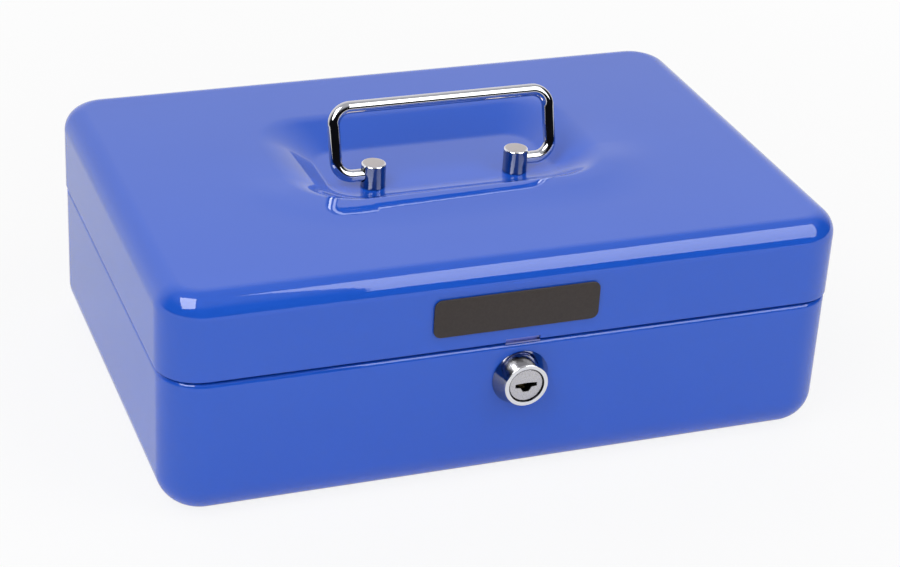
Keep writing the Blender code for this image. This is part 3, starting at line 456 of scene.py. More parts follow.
class Tree:
    """A node tree under construction."""

    def __init__(self, tree):
        self.tree = tree

    def add(self, kind, **inputs):
        """Node with its inputs linked or set."""
        node = self.tree.nodes.new(kind)
        for socket, value in inputs.items():
            self.feed(node.inputs[socket.replace("_", " ")], value)
        return node

    def feed(self, socket, value):
        """Link an output to a socket, or set its value."""
        if isinstance(value, bpy.types.NodeSocket):
            self.tree.links.new(value, socket)
        else:
            socket.default_value = value

    def remap(self, value, low, high, to_low, to_high, curve="LINEAR"):
        """Carry a value from one range to another, clamped."""
        node = self.tree.nodes.new("ShaderNodeMapRange")
        node.interpolation_type = curve
        for socket, item in zip(node.inputs, (value, low, high, to_low, to_high)):
            self.feed(socket, item)
        return node.outputs["Result"]

    def math(self, operation, first, second=0.0):
        """One sum of two values."""
        node = self.tree.nodes.new("ShaderNodeMath")
        node.operation = operation
        self.feed(node.inputs[0], first)
        self.feed(node.inputs[1], second)
        return node.outputs["Value"]

    def blend(self, share, first, second):
        """Mix of two colours, by the sockets that a mix node has for them."""
        node = self.tree.nodes.new("ShaderNodeMix")
        node.data_type = "RGBA"
        self.feed(node.inputs[0], share)
        self.feed(node.inputs[6], first)
        self.feed(node.inputs[7], second)
        return node.outputs[2]

    def tones(self, share, pair):
        """Mix of a finish's two tones."""
        return self.blend(share, rgb(*pair[0]), rgb(*pair[1]))

    def choose(self, share, first, second):
        """Mix of two shaders."""
        node = self.add("ShaderNodeMixShader", Fac=share)
        self.feed(node.inputs[1], first)
        self.feed(node.inputs[2], second)
        return node.outputs["Shader"]


class Nodes(Tree):
    """A Principled material under construction."""

    def __init__(self, name, **values):
        self.material = bpy.data.materials.new(name)
        self.material.use_nodes = True
        super().__init__(self.material.node_tree)
        self.shader = self.tree.nodes["Principled BSDF"]
        for socket, value in values.items():
            self.shader.inputs[socket.replace("_", " ")].default_value = value
        self.coords = self.tree.nodes.new("ShaderNodeTexCoord").outputs["Object"]

    def noise(self, scale, detail=2.0, roughness=0.5, stretch=None):
        """Noise in the piece's own coordinates, about 0 to 1."""
        coords = self.coords
        if stretch is not None:
            mapping = self.add("ShaderNodeMapping", Vector=coords, Scale=stretch)
            coords = mapping.outputs["Vector"]
        node = self.add("ShaderNodeTexNoise", Vector=coords, Scale=scale, Detail=detail,
                        Roughness=roughness)
        return node.outputs["Fac"]

    def bump(self, height, distance, strength=1.0, before=None):
        """Fine relief."""
        node = self.add("ShaderNodeBump", Height=height, Distance=distance, Strength=strength)
        if before is not None:
            self.feed(node.inputs["Normal"], before)
        return node.outputs["Normal"]

    def axis(self, name):
        """One of the piece's own coordinates."""
        return self.add("ShaderNodeSeparateXYZ", Vector=self.coords).outputs[name]

    def radius(self, x, second, plane="XZ", mirror=False):
        """Distance from an axis that is square to a plane, or from that axis and its mirror image in X."""
        across = self.axis("X")
        if mirror:
            across = self.math("ABSOLUTE", across)
        across = self.math("SUBTRACT", across, x)
        other = self.math("SUBTRACT", self.axis(plane[1]), second)
        squares = [self.math("MULTIPLY", leg, leg) for leg in (across, other)]
        return self.math("SQRT", self.math("ADD", *squares))

    def set(self, socket, value):
        """Feed the shader."""
        self.feed(self.shader.inputs[socket], value)


def rgb(red, green, blue):
    """Linear colour with full opacity."""
    return (red, green, blue, 1.0)


def make_enamel():
    """Stoved blue enamel: fine orange peel over the slight waves of drawn sheet."""
    paint = Nodes("blue_enamel", IOR=ENAMEL_IOR)
    cloud = paint.remap(paint.noise(scale=16.0, detail=3.0), 0.3, 0.7, 0.0, 1.0)
    paint.set("Base Color", paint.tones(cloud, ENAMEL_TONES))
    haze = paint.noise(scale=55.0, detail=4.0, roughness=0.6)
    paint.set("Roughness", paint.remap(haze, *ENAMEL_GLOSS))
    waves = paint.bump(paint.noise(scale=26.0, detail=1.0), distance=0.00008)
    peel = paint.bump(paint.noise(scale=420.0, detail=1.5), distance=0.000006, before=waves)
    paint.set("Normal", peel)
    return paint.material


def make_chrome():
    """Bright chrome plate with faint handling marks."""
    plate = Nodes("bright_chrome", Metallic=1.0)
    smear = plate.noise(scale=140.0, detail=4.0, roughness=0.65)
    plate.set("Base Color", plate.tones(smear, CHROME_TONES))
    plate.set("Roughness", plate.remap(smear, *CHROME_GLOSS))
    plate.set("Normal", plate.bump(plate.noise(scale=900.0, detail=2.0), distance=0.0000004))
    return plate.material


def make_post_chrome(top_z):
    """Chromed post with a painted highlight on its round top edge, sides darkened as painted shade, and a
    top that stays satin.
    """
    plate = Nodes("post_chrome", Metallic=1.0)
    face_radius = POST_RADIUS - POST_EDGE
    away = plate.radius(POST_X, POST_Y, "XY", mirror=True)
    height = plate.axis("Z")
    inside = plate.remap(away, face_radius - BORDER, face_radius + 2 * BORDER, 1.0, 0.0)
    level = plate.remap(height, top_z - 2 * BORDER, top_z - BORDER, 0.0, 1.0)
    top = plate.math("MULTIPLY", inside, level)
    edge = plate.remap(height, top_z - POST_EDGE, top_z - POST_EDGE * 0.7, 0.0, 1.0)
    smear = plate.noise(scale=160.0, detail=4.0, roughness=0.6)
    grain = plate.noise(scale=2600.0, detail=3.0, roughness=0.7)
    # painted highlight on the round top edge, over sides darkened as painted shade
    side = plate.blend(edge, plate.tones(smear, POST_SIDE_TONES), rgb(*POST_EDGE_HIGHLIGHT))
    plate.set("Base Color", plate.blend(top, side, plate.tones(grain, POST_TOP_TONES)))
    satin = plate.math("MULTIPLY", plate.remap(grain, *POST_TOP_GLOSS), top)
    rest = plate.math("SUBTRACT", 1.0, top)
    bright = plate.math("MULTIPLY", plate.remap(smear, *POST_SIDE_GLOSS), rest)
    plate.set("Roughness", plate.math("ADD", satin, bright))
    plate.set("Normal", plate.bump(plate.math("MULTIPLY", grain, top), distance=0.00002))
    return plate.material


def make_bezel_chrome():
    """Die-cast bezel: chrome over a slightly rough casting, its face lightened as a painted highlight, its
    cone darkened as painted shade, and painted shade in the gap round the plug.
    """
    plate = Nodes("bezel_chrome", Metallic=1.0)
    cast = plate.noise(scale=700.0, detail=4.0, roughness=0.65)
    bore = PLUG_HEAD_RADIUS + PLUG_CLEARANCE
    away = plate.radius(LOCK_X, LOCK_Z)
    # painted shade in the gap round the plug: the bore's wall is near black
    shown = plate.remap(away, bore + BORDER / 2, bore + 2 * BORDER, 0.0, 1.0)
    # painted highlight on the face, over a cone darkened as painted shade
    bright_face_share = plate.remap(away, BEZEL_FACE_RADIUS - BORDER, BEZEL_FACE_RADIUS + 3 * BORDER, 1.0, 0.0)
    clean = plate.blend(bright_face_share, plate.tones(cast, BEZEL_CONE_TONES), rgb(*BEZEL_FACE_TONE))
    plate.set("Base Color", plate.blend(shown, rgb(*BEZEL_GAP_SHADE), clean))
    plate.set("Roughness", plate.remap(cast, *BEZEL_GLOSS))
    plate.set("Normal", plate.bump(cast, distance=0.000018))
    return plate.material


def make_plug_face():
    """Plug: satin nickel with fine turning rings on its face, and painted shade down its keyway and sides.
    """
    plate = Nodes("plug_face", Metallic=1.0)
    grain = plate.noise(scale=1500.0, detail=4.0, roughness=0.65)
    face_y = LOCK_Y - LOCK_PROUD + PLUG_SETBACK
    # painted shade: near black from just behind the face, down the keyway and the sides
    deep = plate.remap(plate.axis("Y"), face_y + 3 * BORDER, face_y + 10 * BORDER, 0.0, 1.0)
    plate.set("Base Color", plate.blend(deep, plate.tones(grain, PLUG_TONES), rgb(*PLUG_DEPTH_SHADE)))
    plate.set("Roughness", plate.remap(grain, *PLUG_GLOSS))
    rings = plate.math("SINE", plate.math("MULTIPLY", plate.radius(LOCK_X, LOCK_Z), TURNING_RINGS))
    plate.set("Normal", plate.bump(plate.math("ADD", rings, grain), distance=0.000006))
    return plate.material


def make_zinc(name, tones, gloss):
    """Zinc plate with a soft spangle and drawing lines."""
    plate = Nodes(name, Metallic=1.0)
    spangle = plate.noise(scale=420.0, detail=3.0, roughness=0.6)
    plate.set("Base Color", plate.tones(spangle, tones))
    plate.set("Roughness", plate.remap(spangle, *gloss))
    lines = plate.noise(scale=300.0, detail=2.0, stretch=DRAWING_LINES)
    plate.set("Normal", plate.bump(lines, distance=0.000012))
    return plate.material


def make_brass():
    """Stamped brass, dull, and darkened as painted shade for the keyway that it shows through."""
    metal = Nodes("brass", Metallic=1.0)
    tone = metal.noise(scale=700.0, detail=3.0)
    metal.set("Base Color", metal.tones(tone, BRASS_TONES))
    metal.set("Roughness", metal.remap(tone, *BRASS_GLOSS))
    metal.set("Normal", metal.bump(tone, distance=0.000008))
    return metal.material


def make_badge():
    """Bare printed plate: warm near-black with a fine grain."""
    print_face = Nodes("badge_print", IOR=BADGE_IOR)
    grain = print_face.noise(scale=1500.0, detail=3.0, roughness=0.7)
    print_face.set("Base Color", print_face.tones(grain, BADGE_TONES))
    print_face.set("Roughness", print_face.remap(grain, *BADGE_GLOSS))
    print_face.set("Normal", print_face.bump(grain, distance=0.00001))
    return print_face.material


def make_tray_plastic():
    """Moulded black plastic with a fine spark-eroded grain."""
    plastic = Nodes("tray_plastic", IOR=TRAY_IOR)
    grain = plastic.noise(scale=1700.0, detail=3.0, roughness=0.6)
    cloud = plastic.noise(scale=30.0, detail=2.0)
    plastic.set("Base Color", plastic.tones(cloud, TRAY_TONES))
    plastic.set("Roughness", plastic.remap(grain, *TRAY_GLOSS))
    plastic.set("Normal", plastic.bump(grain, distance=0.00003))
    return plastic.material


ENAMEL = make_enamel()
CHROME = make_chrome()
POST_CHROME = make_post_chrome(LID_TOP_Z - RECESS_DEPTH + POST_HEIGHT)
BEZEL_CHROME = make_bezel_chrome()
PLUG_FACE = make_plug_face()
ZINC = make_zinc("zinc_plate", ZINC_TONES, ZINC_GLOSS)
CATCH_ZINC = make_zinc("catch_zinc", CATCH_ZINC_TONES, CATCH_ZINC_GLOSS)
BRASS = make_brass()
BADGE = make_badge()
TRAY_PLASTIC = make_tray_plastic()


def recess_drop(share, rim, floor):
    """Share of the recess depth reached at a share of the way in, with blends at the rim and the floor."""
    slope = 1 / (1 - rim / 2 - floor / 2)
    if share < rim:
        return slope * share * share / (2 * rim)
    if share <= 1 - floor:
        return slope * (share - rim / 2)
    return 1 - slope * (1 - share) ** 2 / (2 * floor)


def recess_share(drop, rim, floor):
    """Share of the way in at which a share of the recess depth is reached."""
    slope = 1 / (1 - rim / 2 - floor / 2)
    if drop < slope * rim / 2:
        return math.sqrt(2 * rim * drop / slope)
    if drop <= 1 - slope * floor / 2:
        return drop / slope + rim / 2
    return 1 - math.sqrt(2 * floor * max(0.0, 1 - drop) / slope)


def between(first, second, share):
    """Value at a share of the way from one to another."""
    return first + (second - first) * share


def ease(value, low, high):
    """Smooth share of the way that a value has come from one limit to another."""
    share = min(1, max(0, (value - low) / (high - low)))
    return share * share * (3 - 2 * share)


def recess_outline(side, front, back, grow=0.0):
    """Outline of the recess at shares of the way from its rim to its floor, grown all round."""
    half_x = between(RIM_HALF_X, FLOOR_HALF_X, side) + grow
    low_y = between(RIM_FRONT_Y, FLOOR_FRONT_Y, front) - grow
    high_y = between(RIM_BACK_Y, FLOOR_BACK_Y, back) + grow
    front_radius = between(RIM_FRONT_RADIUS, FLOOR_RADIUS, side) + grow
    back_radius = between(RIM_BACK_RADIUS, FLOOR_RADIUS, side) + grow
    return outline((-half_x, low_y), (half_x, high_y), (front_radius, back_radius))


def lip(x, y, away):
    """Height of the lip in front of the rim: flatter at the left, and dying out towards the back."""
    along = min(1, max(0, (x - LIP_ENDS_X[0]) / (LIP_ENDS_X[1] - LIP_ENDS_X[0])))
    tilt = between(*LIP_TILTS, along)
    cap = between(*LIP_CAPS, along)
    if away < cap:
        rise = tilt * (LIP_REACH / 2 - away * away / (2 * cap))
    else:
        rise = tilt * (LIP_REACH - away) ** 2 / (2 * (LIP_REACH - cap))
    return rise * ease(y, LIP_FADE_Y, LIP_FULL_Y)


def recess_ring(share):
    """Ring of the recess, level but for its front, which starts from the crest of the lip."""
    drop = recess_drop(share, *SIDE_BLENDS)
    points = recess_outline(share, recess_share(drop, *FRONT_BLENDS), recess_share(drop, *BACK_BLENDS))
    return [(x, y, LID_TOP_Z - RECESS_DEPTH * drop + lip(x, y, 0) * (1 - drop)) for x, y in points]


def hem_share(x):
    """How far the lid's hem has come down at a place: not at all along the front, fully at the sides."""
    start = BOX_HALF_X - CORNER_RADIUS
    return ease(abs(x), start, start + HEM_RUN)


def post_place(side):
    """Where a post stands on the recess floor."""
    return Matrix.Translation((side * POST_X, POST_Y, LID_TOP_Z - RECESS_DEPTH))


def build_lid():
    """Drawn lid with its round top edge, dished recess and notched hem."""
    skirt_top = LID_TOP_Z - LID_EDGE_RADIUS
    edge = arc((LID_EDGE_RADIUS, skirt_top), LID_EDGE_RADIUS, math.pi, math.pi / 2, FILLET_STEPS)
    section = [(0, SEAM_Z), (0, SEAM_Z + SUPPORT), (0, skirt_top - SUPPORT), *edge,
               (LID_EDGE_RADIUS + SUPPORT, LID_TOP_Z)]
    rings = []
    for inset, z in section:
        points = inset_outline(BOX_HALF_X, BOX_HALF_Y, inset, CORNER_RADIUS)
        dip = HEM_DIP if z < SEAM_Z + 2 * SUPPORT else 0
        rings.append([(x, y, z - dip * hem_share(x)) for x, y in points])
    for step in range(LIP_STEPS):
        away = LIP_REACH * (1 - step / LIP_STEPS)
        rings.append([(x, y, LID_TOP_Z + lip(x, y, away)) for x, y in recess_outline(0, 0, 0, away)])
    rings += [recess_ring(step / RECESS_STEPS) for step in range(RECESS_STEPS + 1)]
    rings.append(at_height(recess_outline(1, 1, 1, -SUPPORT), LID_TOP_Z - RECESS_DEPTH))
    lid = new_object("drawn_lid", loft("drawn_lid", rings))
    thicken(lid, SHEET)
    bevel(lid, HEM_ROUND, segments=4)
    tools = [peg("post_hole", SHANK_RADIUS + GAP, PAST, -HOLE_DEPTH, post_place(side)) for side in (-1, 1)]
    tools.append(block("clip_notch", (LOCK_X - CLIP_HALF_WIDTH, -BOX_HALF_Y - PAST, SEAM_Z - PAST),
                       (LOCK_X + CLIP_HALF_WIDTH, -BOX_HALF_Y + PAST, SEAM_Z + CLIP_NOTCH)))
    boolean(lid, "DIFFERENCE", *tools)
    dress(lid, ENAMEL, "lid", "enamel", "lid_shell")


def build_base():
    """Drawn pan with its round foot, shoulder and upstand, notched for the hinges."""
    quarter = math.pi / 2
    inner = UPSTAND_INSET - UPSTAND_RADIUS
    upstand = arc((inner, SHOULDER_Z + UPSTAND_RADIUS), UPSTAND_RADIUS, 0, -quarter, UPSTAND_STEPS)
    shoulder_low = SHOULDER_Z - SHOULDER_RADIUS
    shoulder = arc((SHOULDER_RADIUS, shoulder_low), SHOULDER_RADIUS, quarter, math.pi, SHOULDER_STEPS)
    foot = arc((FOOT_RADIUS, FOOT_RADIUS), FOOT_RADIUS, math.pi, 3 * quarter, FILLET_STEPS)
    section = [(UPSTAND_INSET, UPSTAND_TOP_Z), (UPSTAND_INSET, UPSTAND_TOP_Z - SUPPORT), *upstand,
               *shoulder, (0, shoulder_low - SUPPORT), (0, FOOT_RADIUS + SUPPORT), *foot,
               (FOOT_RADIUS + SUPPORT, 0)]
    rings = []
    for inset, z in section:
        points = inset_outline(BOX_HALF_X - LID_OVERHANG, BOX_HALF_Y - LID_OVERHANG, inset,
                               CORNER_RADIUS - LID_OVERHANG)
        rings.append(at_height(points, z)[::-1])
    base = new_object("drawn_base", loft("drawn_base", rings))
    thicken(base, SHEET)
    bevel(base, UPSTAND_ROUND, segments=2)
    tools = [peg("lock_hole", BARREL_RADIUS + GAP, PAST, -HOLE_DEPTH, LOCK_FRAME, TURN_STEPS)]
    for side in (-1, 1):
        low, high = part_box("hinge_lid_leaf_left" if side < 0 else "hinge_lid_leaf_right")
        tools.append(block("hinge_notch", (low.x - HINGE_NOTCH_SIDE, HINGE_NOTCH_Y[0], shoulder_low),
                           (high.x + HINGE_NOTCH_SIDE, HINGE_NOTCH_Y[1], UPSTAND_TOP_Z + PAST)))
    boolean(base, "DIFFERENCE", *tools)
    dress(base, ENAMEL, "base", "enamel", "base_shell")


def build_handle():
    """Bent wire handle, leaning back as it stands."""
    quarter = math.pi / 2
    end_x = POST_X + POST_RADIUS - WIRE_END_DEPTH
    low_centre = (BAIL_HALF - BAIL_LOW_BEND, BAIL_LOW_BEND)
    top_centre = (BAIL_HALF - BAIL_TOP_BEND, BAIL_LENGTH - BAIL_TOP_BEND)
    low = arc(low_centre, BAIL_LOW_BEND, -quarter, 0, BEND_STEPS)
    top = arc(top_centre, BAIL_TOP_BEND, 0, quarter, BEND_STEPS)
    right = [(end_x, 0), *low, *top]
    route = right + [(-x, z) for x, z in reversed(right)]
    curve = bpy.data.curves.new("wire_handle", "CURVE")
    curve.dimensions = "3D"
    curve.bevel_depth = WIRE_RADIUS
    curve.bevel_resolution = WIRE_STEPS
    curve.use_fill_caps = True
    spline = curve.splines.new("POLY")
    spline.points.add(len(route) - 1)
    for point, (x, z) in zip(spline.points, route):
        point.co = (x, 0, z, 1)
    carrier = bpy.data.objects.new("wire_route", curve)
    bpy.context.scene.collection.objects.link(carrier)
    graph = bpy.context.evaluated_depsgraph_get()
    mesh = bpy.data.meshes.new_from_object(carrier.evaluated_get(graph))
    bpy.data.objects.remove(carrier, do_unlink=True)
    bm = bmesh.new()
    bm.from_mesh(mesh)
    bmesh.ops.remove_doubles(bm, verts=bm.verts, dist=SAME_PLACE)
    bmesh.ops.recalc_face_normals(bm, faces=bm.faces)
    bm.to_mesh(mesh)
    bm.free()
    place = Matrix.Translation((0, POST_Y, PIVOT_Z)) @ Matrix.Rotation(-BAIL_TILT, 4, "X")
    handle = new_object("wire_handle", mesh, place)
    dress(handle, CHROME, "handle", "chrome", "bail_handle")


def build_post(side, name):
    """Turned post with a softened top edge, a wire bore and a peened tail."""
    quarter = math.pi / 2
    under = -SHEET - GAP - WASHER_SHEET - GAP
    face_radius = POST_RADIUS - POST_EDGE
    crown = arc((face_radius, POST_HEIGHT - POST_EDGE), POST_EDGE, quarter, 0, EDGE_STEPS)
    peen = [(radius, under - drop) for radius, drop in PEEN]
    profile = [(0, POST_HEIGHT), *crown, (POST_RADIUS, GAP), (SHANK_RADIUS, GAP), (SHANK_RADIUS, under),
               *peen, (0, peen[-1][1])]
    post = new_object("turned_post_" + name, lathe("turned_post", profile), post_place(side))
    bore_end = POST_RADIUS - WIRE_END_DEPTH - GAP
    turn = Matrix.Translation((side * POST_X, POST_Y, PIVOT_Z)) @ Matrix.Rotation(side * quarter, 4, "Y")
    bore = peg("bore", WIRE_RADIUS + WIRE_CLEARANCE, bore_end, POST_RADIUS + PAST, turn)
    boolean(post, "DIFFERENCE", bore)
    dress(post, POST_CHROME, "lid", "chrome", "handle_post_" + name)


def build_lock_housing():
    """Wide conical bezel with softened edges, and its barrel."""
    quarter = math.pi / 2
    bore = PLUG_RADIUS + PLUG_CLEARANCE
    head_bore = PLUG_HEAD_RADIUS + PLUG_CLEARANCE
    head_low = LOCK_PROUD - PLUG_HEAD_LENGTH - GAP
    taper = math.atan2(BEZEL_BASE_RADIUS - BEZEL_FACE_RADIUS, LOCK_PROUD - GAP)
    back = BEZEL_EDGE * math.tan((quarter - taper) / 2)
    outer_centre = (BEZEL_FACE_RADIUS - back, LOCK_PROUD - BEZEL_EDGE)
    inner_centre = (head_bore + FACE_EDGE, LOCK_PROUD - FACE_EDGE)
    outer = arc(outer_centre, BEZEL_EDGE, quarter, taper, EDGE_STEPS)
    inner = arc(inner_centre, FACE_EDGE, math.pi, quarter, FACE_EDGE_STEPS)
    profile = [*inner, *outer, (BEZEL_BASE_RADIUS, GAP), (BARREL_RADIUS, GAP),
               (BARREL_RADIUS, -BARREL_LENGTH), (bore, -BARREL_LENGTH), (bore, head_low),
               (head_bore, head_low)]
    housing = new_object("lock_bezel", lathe("lock_bezel", profile), LOCK_FRAME)
    dress(housing, BEZEL_CHROME, "base", "chrome", "lock_housing")


def keyway_outline():
    """Keyway that is widest across its middle, with a narrower step below."""
    half = KEYWAY_HEIGHT / 2
    end = KEYWAY_END_HEIGHT / 2
    step = KEYWAY_STEP_WIDTH / 2
    right = [(step / 2, -half - KEYWAY_STEP_HEIGHT), (step, -half), (KEYWAY_WIDTH / 2, -end),
             (KEYWAY_WIDTH / 2, end)]
    left = [(-x, y) for x, y in reversed(right)]
    return [*right, (0, half), *left]


def build_lock_plug():
    """Plug with its keyway, wafer slots, flattened tail and screw hole."""
    body_end = BARREL_LENGTH + GAP / 2
    head_low = LOCK_PROUD - PLUG_HEAD_LENGTH
    face = LOCK_PROUD - PLUG_SETBACK
    edge_centre = (PLUG_HEAD_RADIUS - FACE_EDGE, face - FACE_EDGE)
    edge = arc(edge_centre, FACE_EDGE, math.pi / 2, 0, FACE_EDGE_STEPS)
    profile = [(0, face), *edge, (PLUG_HEAD_RADIUS, head_low), (PLUG_RADIUS, head_low),
               (PLUG_RADIUS, -body_end), (TAIL_RADIUS, -body_end), (TAIL_RADIUS, -TAIL_END), (0, -TAIL_END)]
    plug = new_object("keyed_plug", lathe("keyed_plug", profile), LOCK_FRAME)
    slot = prism("keyway", keyway_outline(), LOCK_PROUD - KEYWAY_DEPTH, LOCK_PROUD + PAST)
    tools = [new_object("keyway", slot, LOCK_FRAME)]
    for index in range(WAFERS):
        low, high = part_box("wafer_%d" % (index + 1))
        tools.append(block("wafer_slot", (low.x - PAST, low.y - GAP, low.z - GAP),
                           (high.x + PAST, high.y + GAP, high.z + GAP)))
    low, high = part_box("cam_screw")
    for side in (-1, 1):
        first, second = sorted((side * TAIL_FLAT_X, side * TAIL_FLAT_REACH))
        tools.append(block("tail_flat", (first, -TAIL_FLAT_REACH, -TAIL_END - PAST),
                           (second, TAIL_FLAT_REACH, -body_end - GAP / 3), LOCK_FRAME))
    screw_end = LOCK_Y - low.y + GAP
    tools.append(peg("screw_hole", SCREW_HOLE_RADIUS, -TAIL_END - PAST, screw_end, LOCK_FRAME, SCREW_STEPS))
    boolean(plug, "DIFFERENCE", *tools)
    dress(plug, PLUG_FACE, "plug", "chrome", "lock_plug")


def build_badge():
    """Bare plate with softened edges."""
    low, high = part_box("badge_plate")
    half_x = (high.x - low.x) / 2
    half_z = (high.z - low.z) / 2
    points = outline((-half_x, -half_z), (half_x, half_z), BADGE_RADIUS, PLATE_CORNER_STEPS)
    depth = high.y - low.y
    place = Matrix.Translation(((low.x + high.x) / 2, high.y, (low.z + high.z) / 2))
    badge = new_object("bare_badge", prism("bare_badge", points, 0, depth),
                       place @ Matrix.Rotation(math.pi / 2, 4, "X"))
    bevel(badge, BADGE_EDGE)
    dress(badge, BADGE, "lid", "badge", "badge_plate")


def along_x(name, section, left, right):
    """Solid of a section of Y and Z points, drawn out along X."""
    mesh = prism(name, section, left, right)
    mesh.transform(Matrix(((0, 0, 1, 0), (1, 0, 0, 0), (0, 1, 0, 0), (0, 0, 0, 1))))
    return new_object(name, mesh)


def build_tray():
    """Moulded tray: coin scoops in front, bays behind, hollows under the scoops, and finger notches."""
    low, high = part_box("coin_tray")
    rim = outline((low.x, low.y), (high.x, high.y), TRAY_RADIUS, PLATE_CORNER_STEPS)
    tray = new_object("moulded_tray", prism("moulded_tray", rim, low.z, high.z))
    front = low.y + TRAY_WALL
    split = front + CUP_LENGTH
    inner_x = high.x - TRAY_WALL
    floor_z = low.z + TRAY_FLOOR
    depth = high.z - floor_z
    radius = CUP_LENGTH ** 2 / (8 * depth) + depth / 2
    centre = (front + CUP_LENGTH / 2, floor_z + radius)
    reach = math.asin(CUP_LENGTH / 2 / radius)
    down = -math.pi / 2
    scoop = arc(centre, radius, down - reach, down + reach, SCOOP_STEPS)
    scoop += [(split, high.z + PAST), (front, high.z + PAST)]
    tools = []
    pitch = (2 * inner_x + TRAY_WALL) / TRAY_CUPS
    for index in range(TRAY_CUPS):
        left = -inner_x + index * pitch
        tools.append(along_x("coin_cup", scoop, left, left + pitch - TRAY_WALL))
    bay_pitch = (2 * inner_x + TRAY_WALL) / TRAY_BAYS
    bay_front = split + TRAY_WALL
    bay_back = high.y - TRAY_WALL
    for index in range(TRAY_BAYS):
        left = -inner_x + index * bay_pitch
        right = left + bay_pitch - TRAY_WALL
        bay = outline((left, bay_front), (right, bay_back), TRAY_RADIUS - TRAY_WALL, PLATE_CORNER_STEPS)
        tools.append(new_object("tray_bay", prism("tray_bay", bay, floor_z, high.z + PAST)))
    outer = radius + TRAY_FLOOR
    end_x = inner_x - TRAY_RADIUS
    for toward, edge in ((-1, front), (1, split - TRAY_FLOOR)):
        start = math.acos(abs(edge - centre[0]) / outer)
        hollow = [(centre[0] + toward * (y - centre[0]), z)
                  for y, z in arc(centre, outer, -start, -HOLLOW_END, HOLLOW_STEPS)]
        hollow += [(hollow[-1][0], low.z - PAST), (edge, low.z - PAST)]
        tools.append(along_x("scoop_hollow", hollow, -end_x, end_x))
    notch_centre = ((bay_front + bay_back) / 2, high.z + NOTCH_RADIUS - NOTCH_DEPTH)
    notch = arc(notch_centre, NOTCH_RADIUS, 0, math.tau, HOLE_STEPS)[:-1]
    tools.append(along_x("finger_notch", notch, low.x - PAST, high.x + PAST))
    boolean(tray, "DIFFERENCE", *tools)
    bevel(tray, TRAY_EDGE, degrees=40)
    dress(tray, TRAY_PLASTIC, "tray", "tray_plastic", "coin_tray")


def dress_nodes():
    """Give the CAD nodes that stay their materials, and break their sharp edges."""
    for name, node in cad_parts.items():
        material = ZINC
        if name.startswith("wafer"):
            material = BRASS
        # the lid's catch: zinc tinted blue as a painted reflection of the enamel round it in the seam
        elif name == "lid_catch":
            material = CATCH_ZINC
        for slot in node.material_slots:
            slot.material = material
        modifier = node.modifiers.new("soft_edges", "BEVEL")
        modifier.width = NODE_EDGE
        modifier.segments = 2
        modifier.limit_method = "ANGLE"
        modifier.angle_limit = math.radians(40)


def make_camera():
    """Camera at the photograph's place, angle and lens."""
    data = bpy.data.cameras.new("photo_camera")
    data.sensor_fit = "HORIZONTAL"
    data.sensor_width = SENSOR_WIDTH
    data.lens = LENS
    data.clip_start = CLIP_NEAR
    data.clip_end = CLIP_FAR
    camera = bpy.data.objects.new("photo_camera", data)
    bpy.context.scene.collection.objects.link(camera)
    axes = Matrix(CAMERA_AXES).to_quaternion().normalized().to_matrix()
    aim = axes @ Matrix.Rotation(CAMERA_PAN, 3, "Y")
    camera.matrix_world = Matrix.Translation(CAMERA_PLACE) @ aim.to_4x4()
    bpy.context.scene.camera = camera


def softbox(name, across, up, width, height, distance, radiance, diffuse=True):
    """Rectangular soft light that faces the object and that the camera doesn't see."""
    data = bpy.data.lights.new(name, "AREA")
    data.shape = "RECTANGLE"
    data.size = width
    data.size_y = height
    data.energy = radiance * math.pi * width * height
    lamp = bpy.data.objects.new(name, data)
    bpy.context.scene.collection.objects.link(lamp)
    x = Vector(across).normalized()
    z = x.cross(Vector(up)).normalized()
    y = z.cross(x)
    turn = Matrix((x, y, z)).transposed().to_4x4()
    lamp.matrix_world = Matrix.Translation(Vector(LIGHT_AIM) + z * distance) @ turn
    lamp.visible_camera = False
    lamp.visible_diffuse = diffuse
    return lamp


def make_lights():
    """Two softboxes in front, each with a glint that only mirrors see, and a fill that they don't."""
    softbox("softbox_left", *LEFT_BOX, BOX_DISTANCE, LEFT_RADIANCE)
    softbox("softbox_right", *RIGHT_BOX, BOX_DISTANCE, RIGHT_RADIANCE)
    softbox("glint_left", *LEFT_BOX, GLINT_DISTANCE, LEFT_GLINT, diffuse=False)
    softbox("glint_right", *RIGHT_BOX, GLINT_DISTANCE, RIGHT_GLINT, diffuse=False)
    fill = softbox("front_fill", *FILL_BOX, FILL_DISTANCE, FILL_RADIANCE)
    fill.visible_glossy = False


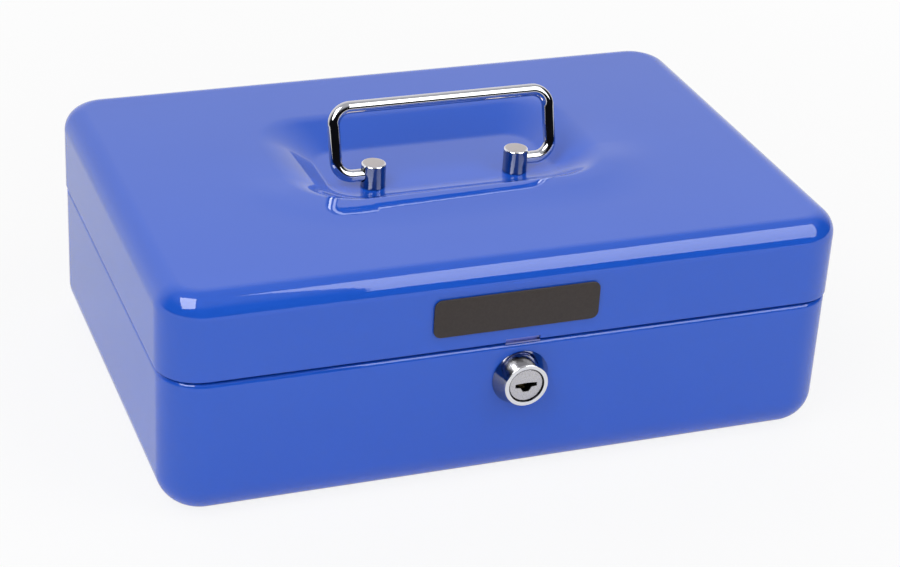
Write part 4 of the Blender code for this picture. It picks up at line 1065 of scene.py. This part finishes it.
def make_world():
    """World that is white to the camera, pale behind, dim in front, and partly pale above to mirrors."""
    world = bpy.data.worlds.new("studio")
    bpy.context.scene.world = world
    world.use_nodes = True
    sky = Tree(world.node_tree)
    sky.tree.nodes.clear()
    way = sky.add("ShaderNodeTexCoord").outputs["Generated"]
    axes = sky.add("ShaderNodeSeparateXYZ", Vector=way)
    rise = sky.remap(axes.outputs["Z"], *SKY_RISE_Z, 0.0, 1.0, "SMOOTHSTEP")
    behind = sky.remap(axes.outputs["Y"], *SKY_BEHIND_Y, 0.0, 1.0, "SMOOTHSTEP")
    above = sky.remap(axes.outputs["Z"], *SKY_ABOVE_Z, 0.0, SKY_ABOVE_SHARE, "SMOOTHSTEP")
    path = sky.add("ShaderNodeLightPath")
    mirrored = sky.math("MULTIPLY", above, path.outputs["Is Glossy Ray"])
    share = sky.math("MAXIMUM", sky.math("MULTIPLY", rise, behind), mirrored)
    tone = sky.tones(share, (SKY_DIM, SKY_PALE))
    seen = sky.add("ShaderNodeBackground", Color=tone, Strength=1.0)
    plain = sky.add("ShaderNodeBackground", Color=rgb(*WHITE), Strength=1.0)
    shown = sky.choose(path.outputs["Is Camera Ray"], seen.outputs["Background"],
                       plain.outputs["Background"])
    sky.add("ShaderNodeOutputWorld", Surface=shown)


def make_floor():
    """White table that keeps a light shadow near the object."""
    left, right = TABLE_X
    front, back = TABLE_Y
    corners = [(left, front), (right, front), (right, back), (left, back)]
    bm = bmesh.new()
    bm.faces.new([bm.verts.new((x, y, -TABLE_DROP)) for x, y in corners])
    floor = new_object("floor", mesh_from(bm, "floor"))
    look = Nodes("white_table", Base_Color=rgb(*TABLE_TONE), Roughness=TABLE_ROUGHNESS)
    near = look.add("ShaderNodeVectorMath")
    near.operation = "LENGTH"
    look.feed(near.inputs[0], look.coords)
    far = look.remap(near.outputs["Value"], *SHADOW_RADII, 0.0, 1.0)
    glow = look.add("ShaderNodeEmission", Color=rgb(*WHITE), Strength=1.0)
    path = look.add("ShaderNodeLightPath")
    mirrored = look.math("MAXIMUM", path.outputs["Is Glossy Ray"], path.outputs["Is Transmission Ray"])
    view_glow = look.remap(far, 0.0, 1.0, *TABLE_VIEW_GLOW)
    mirror_glow = look.remap(far, 0.0, 1.0, *TABLE_MIRROR_GLOW)
    in_view = look.math("MULTIPLY", path.outputs["Is Camera Ray"], view_glow)
    in_mirrors = look.math("MULTIPLY", mirrored, mirror_glow)
    share = look.math("ADD", in_view, in_mirrors)
    shown = look.choose(share, look.shader.outputs["BSDF"], glow.outputs["Emission"])
    look.feed(look.tree.nodes["Material Output"].inputs["Surface"], shown)
    floor.data.materials.append(look.material)


bpy.context.scene.view_settings.view_transform = "Standard"
dress_nodes()
build_lid()
build_base()
build_handle()
for side, name in ((-1, "left"), (1, "right")):
    build_post(side, name)
build_lock_housing()
build_lock_plug()
build_badge()
build_tray()
make_camera()
make_lights()
make_world()
make_floor()
